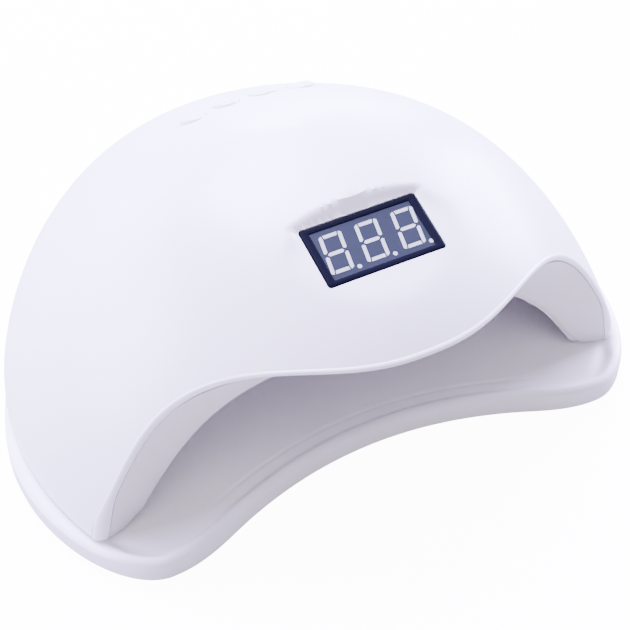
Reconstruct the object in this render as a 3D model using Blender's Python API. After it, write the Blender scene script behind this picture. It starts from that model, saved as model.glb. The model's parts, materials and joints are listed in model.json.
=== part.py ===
"""Desk curing lamp: a domed housing with a front arch, standing on a removable tray.

Every dimension is in millimetres and becomes metres when a mesh is finished.
X runs left to right, -Y is the open front, +Z is up. The design origin is on the
underside of the tray; finished objects are shifted so the lamp is centred in Y
and its rubber pads stand on z = 0.
"""
import math

import bpy
import bmesh
from mathutils import Vector

for old in list(bpy.data.objects):
    bpy.data.objects.remove(old, do_unlink=True)

MM = 0.001
GAP = 0.3                       # clearance between neighbouring pieces
FOOT_PROUD = 1.0                # how far the rubber pads stand below the tray
SHIFT_Y = -64.3
SHIFT_Z = FOOT_PROUD
SIDES = (("left", -1), ("right", 1))

# ---------------------------------------------------------------- shared dimensions
# Domed housing, polar about (0, DOME_Y), angle measured from the front
DOME_Y = 47.8
DOME_RISE = 91.5
RIM_Z = 9.5
FOOT_Z = 8.2                                # lower edge of the shell
DOME_PLAN = (112.6, 5.0, 6.5, -0.8, 1.3)    # plan radius, cosine terms
DOME_FULL = (2.10, 0.59, -0.20)             # plan-wise fullness exponent, cosine terms
DOME_DROP = (1.386, -0.144, 0.092)          # edge-wise fullness exponent, cosine terms
SHELL_T = 2.4

# Front lip of the housing
LIP_Y, LIP_REACH, LIP_HALF, LIP_POW = -3.1, 30.9, 83.2, 1.12
LIP_ROLL = 1.4
LIP_DEPTH = (1.3, 0.7, 2.6)                 # middle, more on the legs, more at the feet
LEG_ROLL = 1.6                              # extra rounding at the feet
LEG_START, LEG_RUN = 0.40, 0.40             # fractions of the half lip
LEG_FOOT_START, LEG_FOOT_RUN = 0.92, 0.08

# Hand cavity
CAV_Y = 35.0                                # straight sides in front, an ellipse behind
CAV_HALF = 83.0
CAV_BACK = 112.0
CAV_RISE = 59.4
CAV_FOOT_Z = 8.4
CAV_M, CAV_N = 2.15, 1.10                   # fullness exponents
CAV_STRAIGHT = 0.23                         # share of the rim columns on the straight sides
EDGE_Y, EDGE_REACH, EDGE_HALF = -0.6, 15.0, 72.0
LINER_T = 1.8
FOOT_R = 4.5                                # rounding of the cavity wall into the liner foot

# Tray levels
TRAY_EDGE_Z = 9.0
TRAY_LOW_Z = 7.6                            # edge where the shell stands above it
TRAY_FLOOR_Z = 7.2
TRAY_WALL = 2.2
TRAY_UNDER_Z = TRAY_FLOOR_Z - TRAY_WALL

# Display opening
DISP_Y, DISP_Z = 0.4, 91.1
DISP_TILT = math.radians(15.9)
BEZEL_W, BEZEL_H = 39.7, 21.2

# Screws, the same on both sides
SCREWS = ((94.0, 22.0), (79.0, 101.0))
SCREW_PAD = 3.6                             # height of the raised seat round each screw
SCREW_R = 1.3
SCREW_HOLE_R = SCREW_R + GAP

# ---------------------------------------------------------------- materials
# name: (base colour, roughness, metallic)
FINISHES = {
    "shell_white": ((0.86, 0.86, 0.90), 0.35, 0.0),
    "liner_white": ((0.80, 0.80, 0.83), 0.40, 0.0),
    "tray_white": ((0.84, 0.84, 0.89), 0.38, 0.0),
    "button_white": ((0.88, 0.88, 0.92), 0.30, 0.0),
    "bezel_navy": ((0.01, 0.012, 0.05), 0.30, 0.0),
    "clear_window": ((0.75, 0.78, 0.82), 0.08, 0.0),
    "display_grey": ((0.13, 0.15, 0.25), 0.35, 0.0),
    "rubber_grey": ((0.20, 0.20, 0.21), 0.85, 0.0),
    "board_green": ((0.02, 0.20, 0.09), 0.50, 0.0),
    "led_board_white": ((0.78, 0.78, 0.76), 0.50, 0.0),
    "led_lens": ((0.80, 0.78, 0.92), 0.10, 0.0),
    "black_plastic": ((0.02, 0.02, 0.02), 0.45, 0.0),
    "sensor_dark": ((0.05, 0.02, 0.06), 0.20, 0.0),
    "steel": ((0.56, 0.57, 0.58), 0.30, 1.0),
    "magnet_nickel": ((0.66, 0.65, 0.62), 0.20, 1.0),
    "capacitor_sleeve": ((0.03, 0.04, 0.10), 0.40, 0.0),
    "cable_black": ((0.03, 0.03, 0.03), 0.60, 0.0),
    "ribbon_grey": ((0.45, 0.46, 0.48), 0.55, 0.0),
}


def make_material(name, colour, roughness, metallic):
    mat = bpy.data.materials.new(name)
    mat.use_nodes = True
    inputs = mat.node_tree.nodes["Principled BSDF"].inputs
    inputs["Base Color"].default_value = (*colour, 1.0)
    inputs["Roughness"].default_value = roughness
    inputs["Metallic"].default_value = metallic
    mat.diffuse_color = (*colour, 1.0)
    return mat


MATERIALS = {name: make_material(name, *values) for name, values in FINISHES.items()}


# ---------------------------------------------------------------- mesh makers
def finish(name, mesh, material=None, origin=(0.0, 0.0, 0.0), smooth=True):
    """Turn a bmesh into an object. Without a material it is a hidden boolean helper."""
    bmesh.ops.remove_doubles(mesh, verts=mesh.verts, dist=0.0005)
    bmesh.ops.recalc_face_normals(mesh, faces=mesh.faces)
    base = Vector(origin)
    for vert in mesh.verts:
        vert.co = (vert.co - base) * MM
    for face in mesh.faces:
        face.smooth = smooth
    data = bpy.data.meshes.new(name)
    mesh.to_mesh(data)
    mesh.free()
    obj = bpy.data.objects.new(name, data)
    obj.location = Vector((base.x, base.y + SHIFT_Y, base.z + SHIFT_Z)) * MM
    bpy.context.scene.collection.objects.link(obj)
    if material is None:
        obj.hide_render = True
        obj.display_type = "WIRE"
    else:
        data.materials.append(MATERIALS[material])
    return obj


def boolean(obj, other, operation):
    modifier = obj.modifiers.new(operation.lower(), "BOOLEAN")
    modifier.operation = operation
    modifier.solver = "EXACT"
    modifier.object = other


class Frame:
    """Local axes: x and y lie in a plane, normal stands on it."""

    def __init__(self, origin, normal, xdir=(1.0, 0.0, 0.0)):
        self.origin = Vector(origin)
        self.normal = Vector(normal).normalized()
        along = Vector(xdir)
        self.x = (along - self.normal * along.dot(self.normal)).normalized()
        self.y = self.normal.cross(self.x)

    def at(self, x, y, height):
        return self.origin + self.x * x + self.y * y + self.normal * height


def upright(x, y):
    return Frame((x, y, 0.0), (0.0, 0.0, 1.0))


def mirrored(points):
    return [(x * side, y) for side in (1, -1) for x, y in points]


def circle(radius, seg):
    return [(radius * math.cos(2 * math.pi * k / seg), radius * math.sin(2 * math.pi * k / seg))
            for k in range(seg)]


def add_ring_stack(mesh, rings):
    """Join closed rings of equal length into a capped skin; a ring of one point is a pole."""
    rows = [[mesh.verts.new(point) for point in ring] for ring in rings]
    for a, b in zip(rows, rows[1:]):
        count = max(len(a), len(b))
        for i in range(count):
            j = (i + 1) % count
            corners = (a[i % len(a)], a[j % len(a)], b[j % len(b)], b[i % len(b)])
            mesh.faces.new(list(dict.fromkeys(corners)))
    for end in (rows[0], rows[-1]):
        if len(end) > 2:
            mesh.faces.new(end)


def add_turned(mesh, frame, profile, seg):
    """Solid of revolution; the profile lists (radius, height) from one end to the other."""
    add_ring_stack(mesh, [
        [frame.at(x, y, height) for x, y in circle(radius, seg)] if radius > 0.0
        else [frame.at(0, 0, height)]
        for radius, height in profile])


def add_rod(mesh, frame, radius, low, high, seg):
    add_turned(mesh, frame, [(radius, low), (radius, high)], seg)


def turned(name, material, frame, profile, seg):
    mesh = bmesh.new()
    add_turned(mesh, frame, profile, seg)
    return finish(name, mesh, material, frame.origin)


def disc(name, material, frame, radius, low, high):
    return turned(name, material, frame, [(0, low), (radius, low), (radius, high), (0, high)], 20)


CORNER_SEG = 3


def add_block(mesh, frame, width, depth, low, high, centre=(0.0, 0.0), corner=0.0):
    loop = []
    for k, (sx, sy) in enumerate(((1, 1), (-1, 1), (-1, -1), (1, -1))):
        for i in range(CORNER_SEG + 1 if corner else 1):
            angle = math.pi / 2 * (k + i / CORNER_SEG)
            loop.append((sx * (width / 2 - corner) + corner * math.cos(angle),
                         sy * (depth / 2 - corner) + corner * math.sin(angle)))
    add_ring_stack(mesh, [[frame.at(centre[0] + x, centre[1] + y, height) for x, y in loop]
                          for height in (low, high)])


def block(name, material, frame, width, depth, low, high, **shape):
    mesh = bmesh.new()
    add_block(mesh, frame, width, depth, low, high, **shape)
    return finish(name, mesh, material, frame.origin, smooth=False)


# ---------------------------------------------------------------- numeric helpers
def bisect(low, high, is_below, steps=40):
    """Value where is_below changes from true to false."""
    for _ in range(steps):
        middle = (low + high) / 2
        if is_below(middle):
            low = middle
        else:
            high = middle
    return (low + high) / 2


def cos_sum(terms, angle):
    return sum(term * math.cos(k * angle) for k, term in enumerate(terms))


def smooth01(value):
    value = min(max(value, 0.0), 1.0)
    return value * value * (3.0 - 2.0 * value)


def slope_normal(height, x, y, step):
    """Upward normal of a height function, by central differences."""
    return Vector((-(height(x + step, y) - height(x - step, y)) / (2 * step),
                   -(height(x, y + step) - height(x, y - step)) / (2 * step), 1.0)).normalized()


def arch_y(x, start, reach, half, power=1.0):
    """Cosine arch that stands furthest forward at x = 0."""
    u = min(abs(x) / half, 1.0)
    return start - reach * (1.0 + math.cos(math.pi * u ** power)) / 2.0


# ---------------------------------------------------------------- surfaces
FLAT_X, FLAT_Y = 70.0, 22.0                 # flattening acts within this |x|, before this y
FLAT_MARGIN = 0.4                           # fully flat this far beside the bezel
FLAT_FADE, FLAT_FADE_LOSS = 22.0, 20.0      # sideways fade, and its shortening to the rear
FLAT_LOSS_Y, FLAT_LOSS_RUN = -8.0, 18.0     # where the shortening starts, and its run
FLAT_FRONT_Y, FLAT_FRONT_FADE = -10.2, 20.0
FLAT_REAR_Y = 11.0
FLAT_SOFT = 0.8                             # softness of the meeting with the dome
SCOOP_END, SCOOP_MIDDLE = 0.8, 2.0          # rear fade length at the ends, more in the middle
SCOOP_HALF, SCOOP_POW = 19.5, 0.7
DOME_STEP, CAV_STEP = 0.4, 0.3              # difference steps for the normals


def dome_radius(angle):
    return cos_sum(DOME_PLAN, angle)


def dome_raw(x, y):
    angle = math.atan2(x, DOME_Y - y)
    q = min(math.hypot(x, y - DOME_Y) / dome_radius(angle), 1.0)
    fall = max(1.0 - q ** cos_sum(DOME_FULL, angle), 0.0)
    return RIM_Z + DOME_RISE * fall ** (1.0 / cos_sum(DOME_DROP, angle))


def dome_z(x, y):
    """Height of the outer skin, flattened at the display and scooped just behind it."""
    z = dome_raw(x, y)
    if abs(x) < FLAT_X and y < FLAT_Y:
        over = z - (DISP_Z + (y - DISP_Y) * math.tan(DISP_TILT))
        fade = FLAT_FADE - FLAT_FADE_LOSS * smooth01((y - FLAT_LOSS_Y) / FLAT_LOSS_RUN)
        side = max(abs(x) - BEZEL_W / 2 - FLAT_MARGIN, 0.0) / fade
        front = max(FLAT_FRONT_Y - y, 0.0) / FLAT_FRONT_FADE
        reach = SCOOP_END + SCOOP_MIDDLE * max(1.0 - (x / SCOOP_HALF) ** 2, 0.0) ** SCOOP_POW
        behind = min(max(y - FLAT_REAR_Y, 0.0) / reach, 1.0)
        weight = math.exp(-side * side - front * front) * (1.0 - behind)
        z -= (over + math.hypot(over, FLAT_SOFT)) / 2.0 * weight
    return z


def dome_normal(x, y):
    return slope_normal(dome_raw, x, y, DOME_STEP)


def lip_size(along):
    """Roll, depth and set-back of the lip at a fraction of its half length."""
    leg = smooth01((along - LEG_START) / LEG_RUN)
    foot = smooth01((along - LEG_FOOT_START) / LEG_FOOT_RUN)
    middle, more_leg, more_foot = LIP_DEPTH
    set_back = LEG_ROLL * foot
    return LIP_ROLL + set_back, middle + more_leg * leg + more_foot * foot, set_back


def lip_y(x):
    return arch_y(x, LIP_Y, LIP_REACH, LIP_HALF, LIP_POW)


def cav_z(x, y):
    if y < CAV_Y:
        q = abs(x) / CAV_HALF
    else:
        q = math.hypot(x / CAV_HALF, (y - CAV_Y) / CAV_BACK)
    return CAV_FOOT_Z + CAV_RISE * max(1.0 - min(q, 1.0) ** CAV_M, 0.0) ** (1.0 / CAV_N)


def cav_normal(x, y):
    """Points away from the hand space, into the housing."""
    return slope_normal(cav_z, x, y, CAV_STEP)


def inside_dome(x):
    y = lip_y(x) + LEG_ROLL
    return math.hypot(x, y - DOME_Y) < dome_radius(math.atan2(x, DOME_Y - y))


# Where the lip meets the rim
CORNER_X = bisect(80.0, 112.0, inside_dome, steps=50)
CORNER_ANGLE = math.atan2(CORNER_X, DOME_Y - lip_y(CORNER_X) - LEG_ROLL)
# Plan scale of the cavity where its wall reaches the top of the foot rounding
CAV_END = (1.0 - (FOOT_R / CAV_RISE) ** CAV_N) ** (1.0 / CAV_M)

FRONT_COLS, REAR_COLS = 11, 13


def columns():
    """Columns round the plan, from the front middle: (part, fraction along it, side)."""
    half = [("lip", i / FRONT_COLS) for i in range(FRONT_COLS + 1)]
    half += [("rim", i / REAR_COLS) for i in range(1, REAR_COLS + 1)]
    right = [(part, along, 1.0) for part, along in half]
    left = [(part, along, -1.0) for part, along in half[1:-1]]
    return right + left[::-1]


COLUMNS = columns()


def shell_border(part, along, side):
    if part == "lip":
        x = CORNER_X * along
        return x * side, lip_y(x) + lip_size(along)[2]
    angle = CORNER_ANGLE + (math.pi - CORNER_ANGLE) * along
    radius = dome_radius(angle)
    return side * radius * math.sin(angle), DOME_Y - radius * math.cos(angle)


def cavity_border(part, along, side):
    if part == "lip":
        x = CAV_HALF * along
        y = arch_y(x, EDGE_Y, EDGE_REACH, EDGE_HALF)
    elif along <= CAV_STRAIGHT:
        x = CAV_HALF
        y = EDGE_Y + (CAV_Y - EDGE_Y) * along / CAV_STRAIGHT
    else:
        angle = math.pi / 2 * (along - CAV_STRAIGHT) / (1.0 - CAV_STRAIGHT)
        x = CAV_HALF * math.cos(angle)
        y = CAV_Y + CAV_BACK * math.sin(angle) * CAV_END
    return x * CAV_END * side, y


LIP_PROBE_SCALE, LIP_PROBE_BACK = 0.995, 0.3    # the lip normal is read just off its ridge


def lip_point(part, along, side, forward, inward):
    """A border point moved into the wall and, on the lip, toward the front."""
    x, y = shell_border(part, along, side)
    if part == "lip":
        z = dome_z(x, y) if along < 1.0 else FOOT_Z
        normal = dome_normal(x * LIP_PROBE_SCALE, y + LIP_PROBE_BACK)
        normal.y = 0.0
        normal.normalize()
        return Vector((x - normal.x * inward, y - forward, max(z - normal.z * inward, FOOT_Z)))
    out = Vector((x, y - DOME_Y, 0.0)).normalized()
    return Vector((x - out.x * inward, y - out.y * inward, FOOT_Z))


# ---------------------------------------------------------------- walls from skins
MIN_OFFSET_COS = 0.62           # limits how far the offset reaches at sharp bends


def fan_rows(count, crowding, centre_y, border):
    """Plan points of rows growing from the centre to the border, closer together outward."""
    shape = [border(*column) for column in COLUMNS]
    rows = []
    for k in range(1, count + 1):
        scale = 1.0 - (1.0 - k / count) ** crowding
        rows.append([(x * scale, centre_y + (y - centre_y) * scale) for x, y in shape])
    return rows


def even_offset(rows, dist):
    """Points pushed along their shared normals so that the wall keeps its thickness."""
    out = []
    for row in rows:
        line = []
        for vert in row:
            normal = Vector()
            for face in vert.link_faces:
                normal += face.normal * face.calc_area() ** 0.5
            normal.normalize()
            cosine = min(normal.dot(face.normal) for face in vert.link_faces)
            line.append(vert.co + normal * (dist / max(cosine, MIN_OFFSET_COS)))
        out.append(line)
    return out


def join_skins(name, material, pole, rows, dist, trim=None, edge_rows=()):
    """Closed wall: a skin round a pole, its even offset and a strip between their borders.

    trim may change the offset rows; edge_rows lie between the borders, skin side first.
    """
    mesh = bmesh.new()
    top = mesh.verts.new(pole)
    grid = [[mesh.verts.new(point) for point in row] for row in rows]
    count = len(COLUMNS)
    for i in range(count):
        mesh.faces.new((top, grid[0][i], grid[0][(i + 1) % count]))
    for a, b in zip(grid, grid[1:]):
        for i in range(count):
            j = (i + 1) % count
            mesh.faces.new((a[i], b[i], b[j], a[j]))
    mesh.normal_update()

    back = even_offset([[top]] + grid, dist)
    if trim:
        back = trim(back)
    back_top = mesh.verts.new(back[0][0])
    inner = [[mesh.verts.new(point) for point in row] for row in back[1:]]
    strip = [[mesh.verts.new(point) for point in row] for row in edge_rows]
    for i in range(count):
        mesh.faces.new((back_top, inner[0][(i + 1) % count], inner[0][i]))
    chain = inner + strip[::-1] + [grid[-1]]
    for a, b in zip(chain, chain[1:]):
        for i in range(count):
            j = (i + 1) % count
            mesh.faces.new((a[j], b[j], b[i], a[i]))
    return finish(name, mesh, material)


# ---------------------------------------------------------------- frames of the openings
# x to the right, y to the rear, normal out of the skin
DISPLAY = Frame((0.0, DISP_Y, DISP_Z), (0.0, -math.sin(DISP_TILT), math.cos(DISP_TILT)))

KEY_TILT = math.radians(26.0)
KEY_Y = 89.5
KEYPAD = Frame((0.0, KEY_Y, dome_z(0.0, KEY_Y)), (0.0, math.sin(KEY_TILT), math.cos(KEY_TILT)))
KEY_R = 4.5
# name, x and y in the keypad frame
KEY_PLACES = (("10s", -20.0, -2.2), ("30s", -6.7, 0.0), ("60s", 6.7, 0.0), ("99s", 20.0, -2.2))


def key_rise(x, y):
    """Height of the skin above the keypad plane, along its normal."""
    def below_skin(height):
        point = KEYPAD.at(x, y, height)
        return point.z < dome_z(point.x, point.y)
    return bisect(-12.0, 6.0, below_skin)


def key_list():
    """Name, rise and own frame on the skin for each button."""
    keys = []
    for name, x, y in KEY_PLACES:
        rise = key_rise(x, y)
        keys.append((name, rise, Frame(KEYPAD.at(x, y, rise), KEYPAD.normal)))
    return keys


KEYS = key_list()

JACK = Frame((0.0, 153.0, 24.0), (0.0, 1.0, 0.0))       # normal points to the rear

# ---------------------------------------------------------------- top shell
DOME_ROWS, DOME_CROWDING = 9, 1.45
LIP_BACK = 2.2                  # inner border of the lip, behind its ridge
LIP_CLEAR = 1.0                 # the next inner row stays this far behind that border
LIP_CLEAR_Y = 10.0              # only rows in front of this are held back
# forward and inward, as shares of the lip's roll and depth
ROLL_ROWS = ((0.70, 0.22), (1.0, 0.62), (0.55, 1.0))
BOSS_R = 3.4
BOSS_SINK = 0.62                # boss top inside the dome wall, share of its thickness
BOSS_MIN_SLOPE = 0.15
BEZEL_HOLE_CORNER = 1.3
JACK_HOLE_R = 5.0


def trim_shell(back):
    """Keep the inside of the shell clear behind the lip."""
    edge = [lip_point(*column, -LIP_BACK, SHELL_T) for column in COLUMNS]
    previous = []
    for (part, along, _), point, rim in zip(COLUMNS, back[-2], edge):
        y = point.y
        if part == "lip" and along < 1.0 and y < LIP_CLEAR_Y:
            y = max(y, rim.y + LIP_CLEAR)
        previous.append(Vector((point.x, y, point.z)))
    return back[:-2] + [previous, edge]


def lip_roll_rows():
    """Rounded front of the lip; across the rim the rows lie flat at the foot level."""
    out = []
    for k, (forward, inward) in enumerate(ROLL_ROWS):
        row = []
        for part, along, side in COLUMNS:
            if part == "lip":
                roll, depth, _ = lip_size(along)
                row.append(lip_point(part, along, side, forward * roll, inward * depth))
            else:
                flat = SHELL_T * (k + 1) / (len(ROLL_ROWS) + 1)
                row.append(lip_point(part, along, side, 0.0, flat))
        out.append(row)
    return out


def shell_wall():
    rows = [[Vector((x, y, dome_z(x, y))) for x, y in row]
            for row in fan_rows(DOME_ROWS, DOME_CROWDING, DOME_Y, shell_border)]
    for (part, along, _), point in zip(COLUMNS, rows[-1]):
        if part == "rim" or along >= 1.0:
            point.z = FOOT_Z
    pole = Vector((0.0, DOME_Y, dome_z(0.0, DOME_Y)))
    return join_skins("top_shell", "shell_white", pole, rows, -SHELL_T,
                      trim_shell, lip_roll_rows())


def screw_bosses():
    """Bosses from the liner seats up into the dome wall."""
    mesh = bmesh.new()
    for x, y in mirrored(SCREWS):
        ring = [(x + dx, y + dy) for dx, dy in circle(BOSS_R, 12)]
        low = [Vector((a, b, CAV_FOOT_Z + SCREW_PAD + GAP)) for a, b in ring]
        high = []
        for a, b in ring:
            sink = SHELL_T * BOSS_SINK / max(dome_normal(a, b).z, BOSS_MIN_SLOPE)
            high.append(Vector((a, b, dome_z(a, b) - sink)))
        add_ring_stack(mesh, [low, high])
    return finish("cut_bosses", mesh)


def shell_openings():
    """Display opening, button holes, jack hole and screw holes."""
    mesh = bmesh.new()
    add_block(mesh, DISPLAY, BEZEL_W + 2 * GAP, BEZEL_H + 2 * GAP, -7.0, 7.0,
              corner=BEZEL_HOLE_CORNER)
    for _, _, frame in KEYS:
        add_rod(mesh, frame, KEY_R + GAP, -6.0, 4.0, 20)
    add_rod(mesh, JACK, JACK_HOLE_R, -3.0, 17.0, 18)
    for x, y in mirrored(SCREWS):
        add_rod(mesh, upright(x, y), SCREW_HOLE_R, CAV_FOOT_Z, CAV_FOOT_Z + 14.0, 10)
    return finish("cut_shell", mesh)


def build_shell():
    shell = shell_wall()
    boolean(shell, screw_bosses(), "UNION")
    boolean(shell, shell_openings(), "DIFFERENCE")


build_shell()

# ---------------------------------------------------------------- inner liner
CAV_ROWS, CAV_CROWDING = 8, 1.3
LINER_TUCK = 4.6                # how far the liner edge hides behind the middle of the lip
TUCK_START, TUCK_RUN = 0.30, 0.34
EDGE_CLEAR = 0.3                # extra clearance under the lip
UNDER_MIDDLE, UNDER_END = 3.2, 0.72     # drop at the middle, fading out at this fraction
UNDER_FOOT, UNDER_FOOT_START = 0.9, 0.75
LIP_FOLLOW = 0.75               # share of the lip roll that the liner edge follows
RIM_CLEAR = 0.7                 # extra clearance inside the shell foot
CORNER_CLEAR, CORNER_RUN = 1.2, 0.2     # more beside the corner, and its share of the rim
# Two rows turning the wall into the foot: progress, step toward the edge
ROUND_ROWS = ((0.5, 2.0), (1.0, 3.0))
ROUND_OUT = (0.9, 0.3)          # linear and square terms of the outward travel
ROUND_DOWN = (1.8, -0.8)        # the same for the downward travel
ROUND_FADE = 3.0                # height over which the rounding fades in
BAND_ROWS = (0.22, 0.6)         # rows between the rounding and the outer edge
BAND_BULGE = 1.1
BAND_PHASE = 0.12
BAND_FADE_X = 45.0              # the bulge is full beyond this |x|

LED_R = 3.6
SENSOR_R = 2.5
LED_SIDE = ((30.0, 8.0), (30.0, 48.0), (48.0, 18.0), (48.0, 58.0))      # (height, y)
LED_TOP = ((0.0, 14.0), (25.0, 30.0), (-25.0, 30.0),                    # (x, y)
           (0.0, 50.0), (21.0, 72.0), (-21.0, 72.0))
SENSOR_X, SENSOR_HEIGHT = 6.0, 34.0
SEAT_R = 4.3
HEAD_POCKET_R, HEAD_POCKET_TOP = 3.3, CAV_FOOT_Z + 1.7


def liner_edge_point(part, along, side):
    """Outer edge of the liner, hidden inside the lip and the shell foot."""
    if part == "rim":
        corner = CORNER_CLEAR * max(1.0 - along / CORNER_RUN, 0.0)
        point = lip_point(part, along, side, 0.0, SHELL_T + GAP + RIM_CLEAR + corner)
        point.z = CAV_FOOT_Z
        return point
    roll, depth, _ = lip_size(along)
    tuck = 1.0 - smooth01((along - TUCK_START) / TUCK_RUN)
    foot = max(along - UNDER_FOOT_START, 0.0) / (1.0 - UNDER_FOOT_START)
    under = UNDER_MIDDLE * max(1.0 - (along / UNDER_END) ** 2, 0.0) + UNDER_FOOT * foot
    point = lip_point(part, along, side, roll * LIP_FOLLOW - LINER_TUCK * tuck,
                      max(depth, SHELL_T) + GAP + EDGE_CLEAR + under)
    point.z = max(point.z, CAV_FOOT_Z)
    return point


def foot_direction(part, point):
    """Level direction from the hand space into the wall."""
    if part == "lip" or point.y < CAV_Y:
        return Vector((math.copysign(1.0, point.x), 0.0, 0.0))
    return Vector((point.x / CAV_HALF ** 2, (point.y - CAV_Y) / CAV_BACK ** 2, 0.0)).normalized()


def rounding_row(border, outer, progress, step):
    """An arc down to the foot where the wall is low, a step toward the edge elsewhere."""
    travel, drop = (FOOT_R * (linear * progress + square * progress * progress)
                    for linear, square in (ROUND_OUT, ROUND_DOWN))
    row = []
    for (part, _, _), point, target in zip(COLUMNS, border, outer):
        low = smooth01((CAV_FOOT_Z + FOOT_R + ROUND_FADE - point.z) / ROUND_FADE)
        way = foot_direction(part, point)
        arc = Vector((point.x + way.x * travel, point.y + way.y * travel, point.z - drop))
        row.append((point + (target - point).normalized() * step).lerp(arc, low))
    return row


def band_row(edge, outer, share):
    """Row of the band between the rounding and the outer edge, bulging to the front."""
    bulge = BAND_BULGE * math.sin(math.pi * (share + BAND_PHASE))
    row = []
    for (part, along, _), start, end in zip(COLUMNS, edge, outer):
        point = start.lerp(end, share)
        if part == "lip":
            point.y -= bulge * min(1.0, abs(start.x) / BAND_FADE_X)
            if along >= 1.0:
                point.z = CAV_FOOT_Z
        row.append(point)
    return row


def liner_wall():
    rows = [[Vector((x, y, max(cav_z(x, y), CAV_FOOT_Z + FOOT_R))) for x, y in row]
            for row in fan_rows(CAV_ROWS, CAV_CROWDING, CAV_Y, cavity_border)]
    border = rows[-1]
    outer = [liner_edge_point(*column) for column in COLUMNS]
    rows += [rounding_row(border, outer, progress, step) for progress, step in ROUND_ROWS]
    edge = rows[-1]
    rows += [band_row(edge, outer, share) for share in BAND_ROWS]
    rows.append(outer)
    pole = Vector((0.0, CAV_Y, cav_z(0.0, CAV_Y)))
    return join_skins("inner_liner", "liner_white", pole, rows, LINER_T)


def side_point(height, y, side):
    """Point of the cavity's side wall at a height."""
    x = bisect(20.0, CAV_HALF, lambda value: cav_z(value, y) > height)
    return Vector((side * x, y, height))


def cavity_frame(x, y):
    return Frame((x, y, cav_z(x, y)), cav_normal(x, y), (0.0, 1.0, 0.0))


def rear_frame(x, height):
    y = bisect(60.0, CAV_Y + CAV_BACK, lambda value: cav_z(x, value) > height)
    return Frame((x, y, height), cav_normal(x, y))


def led_list():
    leds = []
    for tag, side in SIDES:
        for i, (height, y) in enumerate(LED_SIDE, 1):
            point = side_point(height, y, side)
            leds.append((f"led_{tag}_{i}", cavity_frame(point.x, point.y)))
    return leds + [(f"led_top_{i}", cavity_frame(x, y)) for i, (x, y) in enumerate(LED_TOP, 1)]


LEDS = led_list()
SENSORS = (("ir_emitter", rear_frame(-SENSOR_X, SENSOR_HEIGHT)),
           ("ir_receiver", rear_frame(SENSOR_X, SENSOR_HEIGHT)))


def screw_seats():
    mesh = bmesh.new()
    for x, y in mirrored(SCREWS):
        add_rod(mesh, upright(x, y), SEAT_R, CAV_FOOT_Z + 0.3, CAV_FOOT_Z + SCREW_PAD, 16)
    return finish("cut_seats", mesh)


def liner_openings():
    """Holes for the emitters and sensors, and stepped holes for the screws."""
    mesh = bmesh.new()
    for frames, radius in ((LEDS, LED_R), (SENSORS, SENSOR_R)):
        for _, frame in frames:
            add_rod(mesh, frame, radius + GAP, -4.0, 5.0, 12)
    for x, y in mirrored(SCREWS):
        add_turned(mesh, upright(x, y),
                   [(HEAD_POCKET_R, CAV_FOOT_Z - 2.0), (HEAD_POCKET_R, HEAD_POCKET_TOP),
                    (SCREW_HOLE_R, HEAD_POCKET_TOP), (SCREW_HOLE_R, CAV_FOOT_Z + 6.0)], 16)
    return finish("cut_liner", mesh)


def build_liner():
    liner = liner_wall()
    boolean(liner, screw_seats(), "UNION")
    boolean(liner, liner_openings(), "DIFFERENCE")


def build_emitters():
    """LED lenses and infrared sensors, domed toward the hand space."""
    for name, frame in LEDS:
        turned(name, "led_lens", frame,
               [(0, 2.6), (LED_R, 2.6), (LED_R, -0.6), (LED_R * 0.86, -1.5),
                (LED_R * 0.5, -2.2), (0, -2.5)], 12)
    for name, frame in SENSORS:
        turned(name, "sensor_dark", frame,
               [(0, 4.5), (SENSOR_R, 4.5), (SENSOR_R, -0.4), (1.6, -1.4), (0, -1.8)], 10)


build_liner()
build_emitters()

# ---------------------------------------------------------------- tray
TRAY_HALF = 112.0
TRAY_MID_Y = 31.3               # y of the widest place
TRAY_REAR = -1.0                # the rear edge follows the shell, this far outside it
TRAY_BLEND = math.radians(17.1)
TRAY_FRONT_Y = -3.3
TRAY_CONCAVE = 0.0039
WING_X, WING_Y, WING_POW = 81.3, -22.0, 1.79
WING_BLEND = 6.0
MID_POINTS, WING_POINTS, BACK_POINTS = 9, 9, 15
TRAY_CENTRE = (0.0, 52.0)
FLOOR_INSET = 10.4
RELAX_INSET = 6.0               # deeper insets get their outline relaxed
# Top of the edge, outside first: inset, z where the rim stands up, z where it is low
TRAY_TOP = ((0.0, 6.2, 6.2), (0.6, 8.0, 6.9), (1.6, 8.8, 7.3), (2.8, TRAY_EDGE_Z, TRAY_LOW_Z),
            (4.6, 7.4, TRAY_LOW_Z), (6.2, 6.6, 7.3), (FLOOR_INSET, TRAY_FLOOR_Z, TRAY_FLOOR_Z))
# Underside of the edge: inset, z
TRAY_UNDER = ((0.0, 1.0), (0.8, 0.0), (3.4, 0.0), (3.9, TRAY_UNDER_Z))
FLOOR_TOP_SCALE, FLOOR_UNDER_SCALE = 0.62, 0.60     # extra ring in the floor, each face

PADS = (("front", (86.0, -8.0)), ("rear", (60.0, 121.0)))
PAD_R, PAD_BOSS_R = 5.0, 7.2
DISC_AT = (94.5, 62.0)
DISC_R, DISC_BOSS_R = 6.0, 7.6
MAGNET_R, MAGNET_T = 5.0, 3.0
MAGNET_Z = CAV_FOOT_Z + LINER_T + 0.5

SIDE_ANGLE = math.atan2(TRAY_HALF, DOME_Y - TRAY_MID_Y)
SIDE_OUT = math.hypot(TRAY_HALF, TRAY_MID_Y - DOME_Y) - dome_radius(SIDE_ANGLE)


def wing_front(x):
    u = min(max((x - WING_X) / (TRAY_HALF - WING_X), 0.0), 1.0)
    return TRAY_MID_Y - (TRAY_MID_Y - WING_Y) * (1.0 - u ** WING_POW) ** (1.0 / WING_POW)


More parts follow.
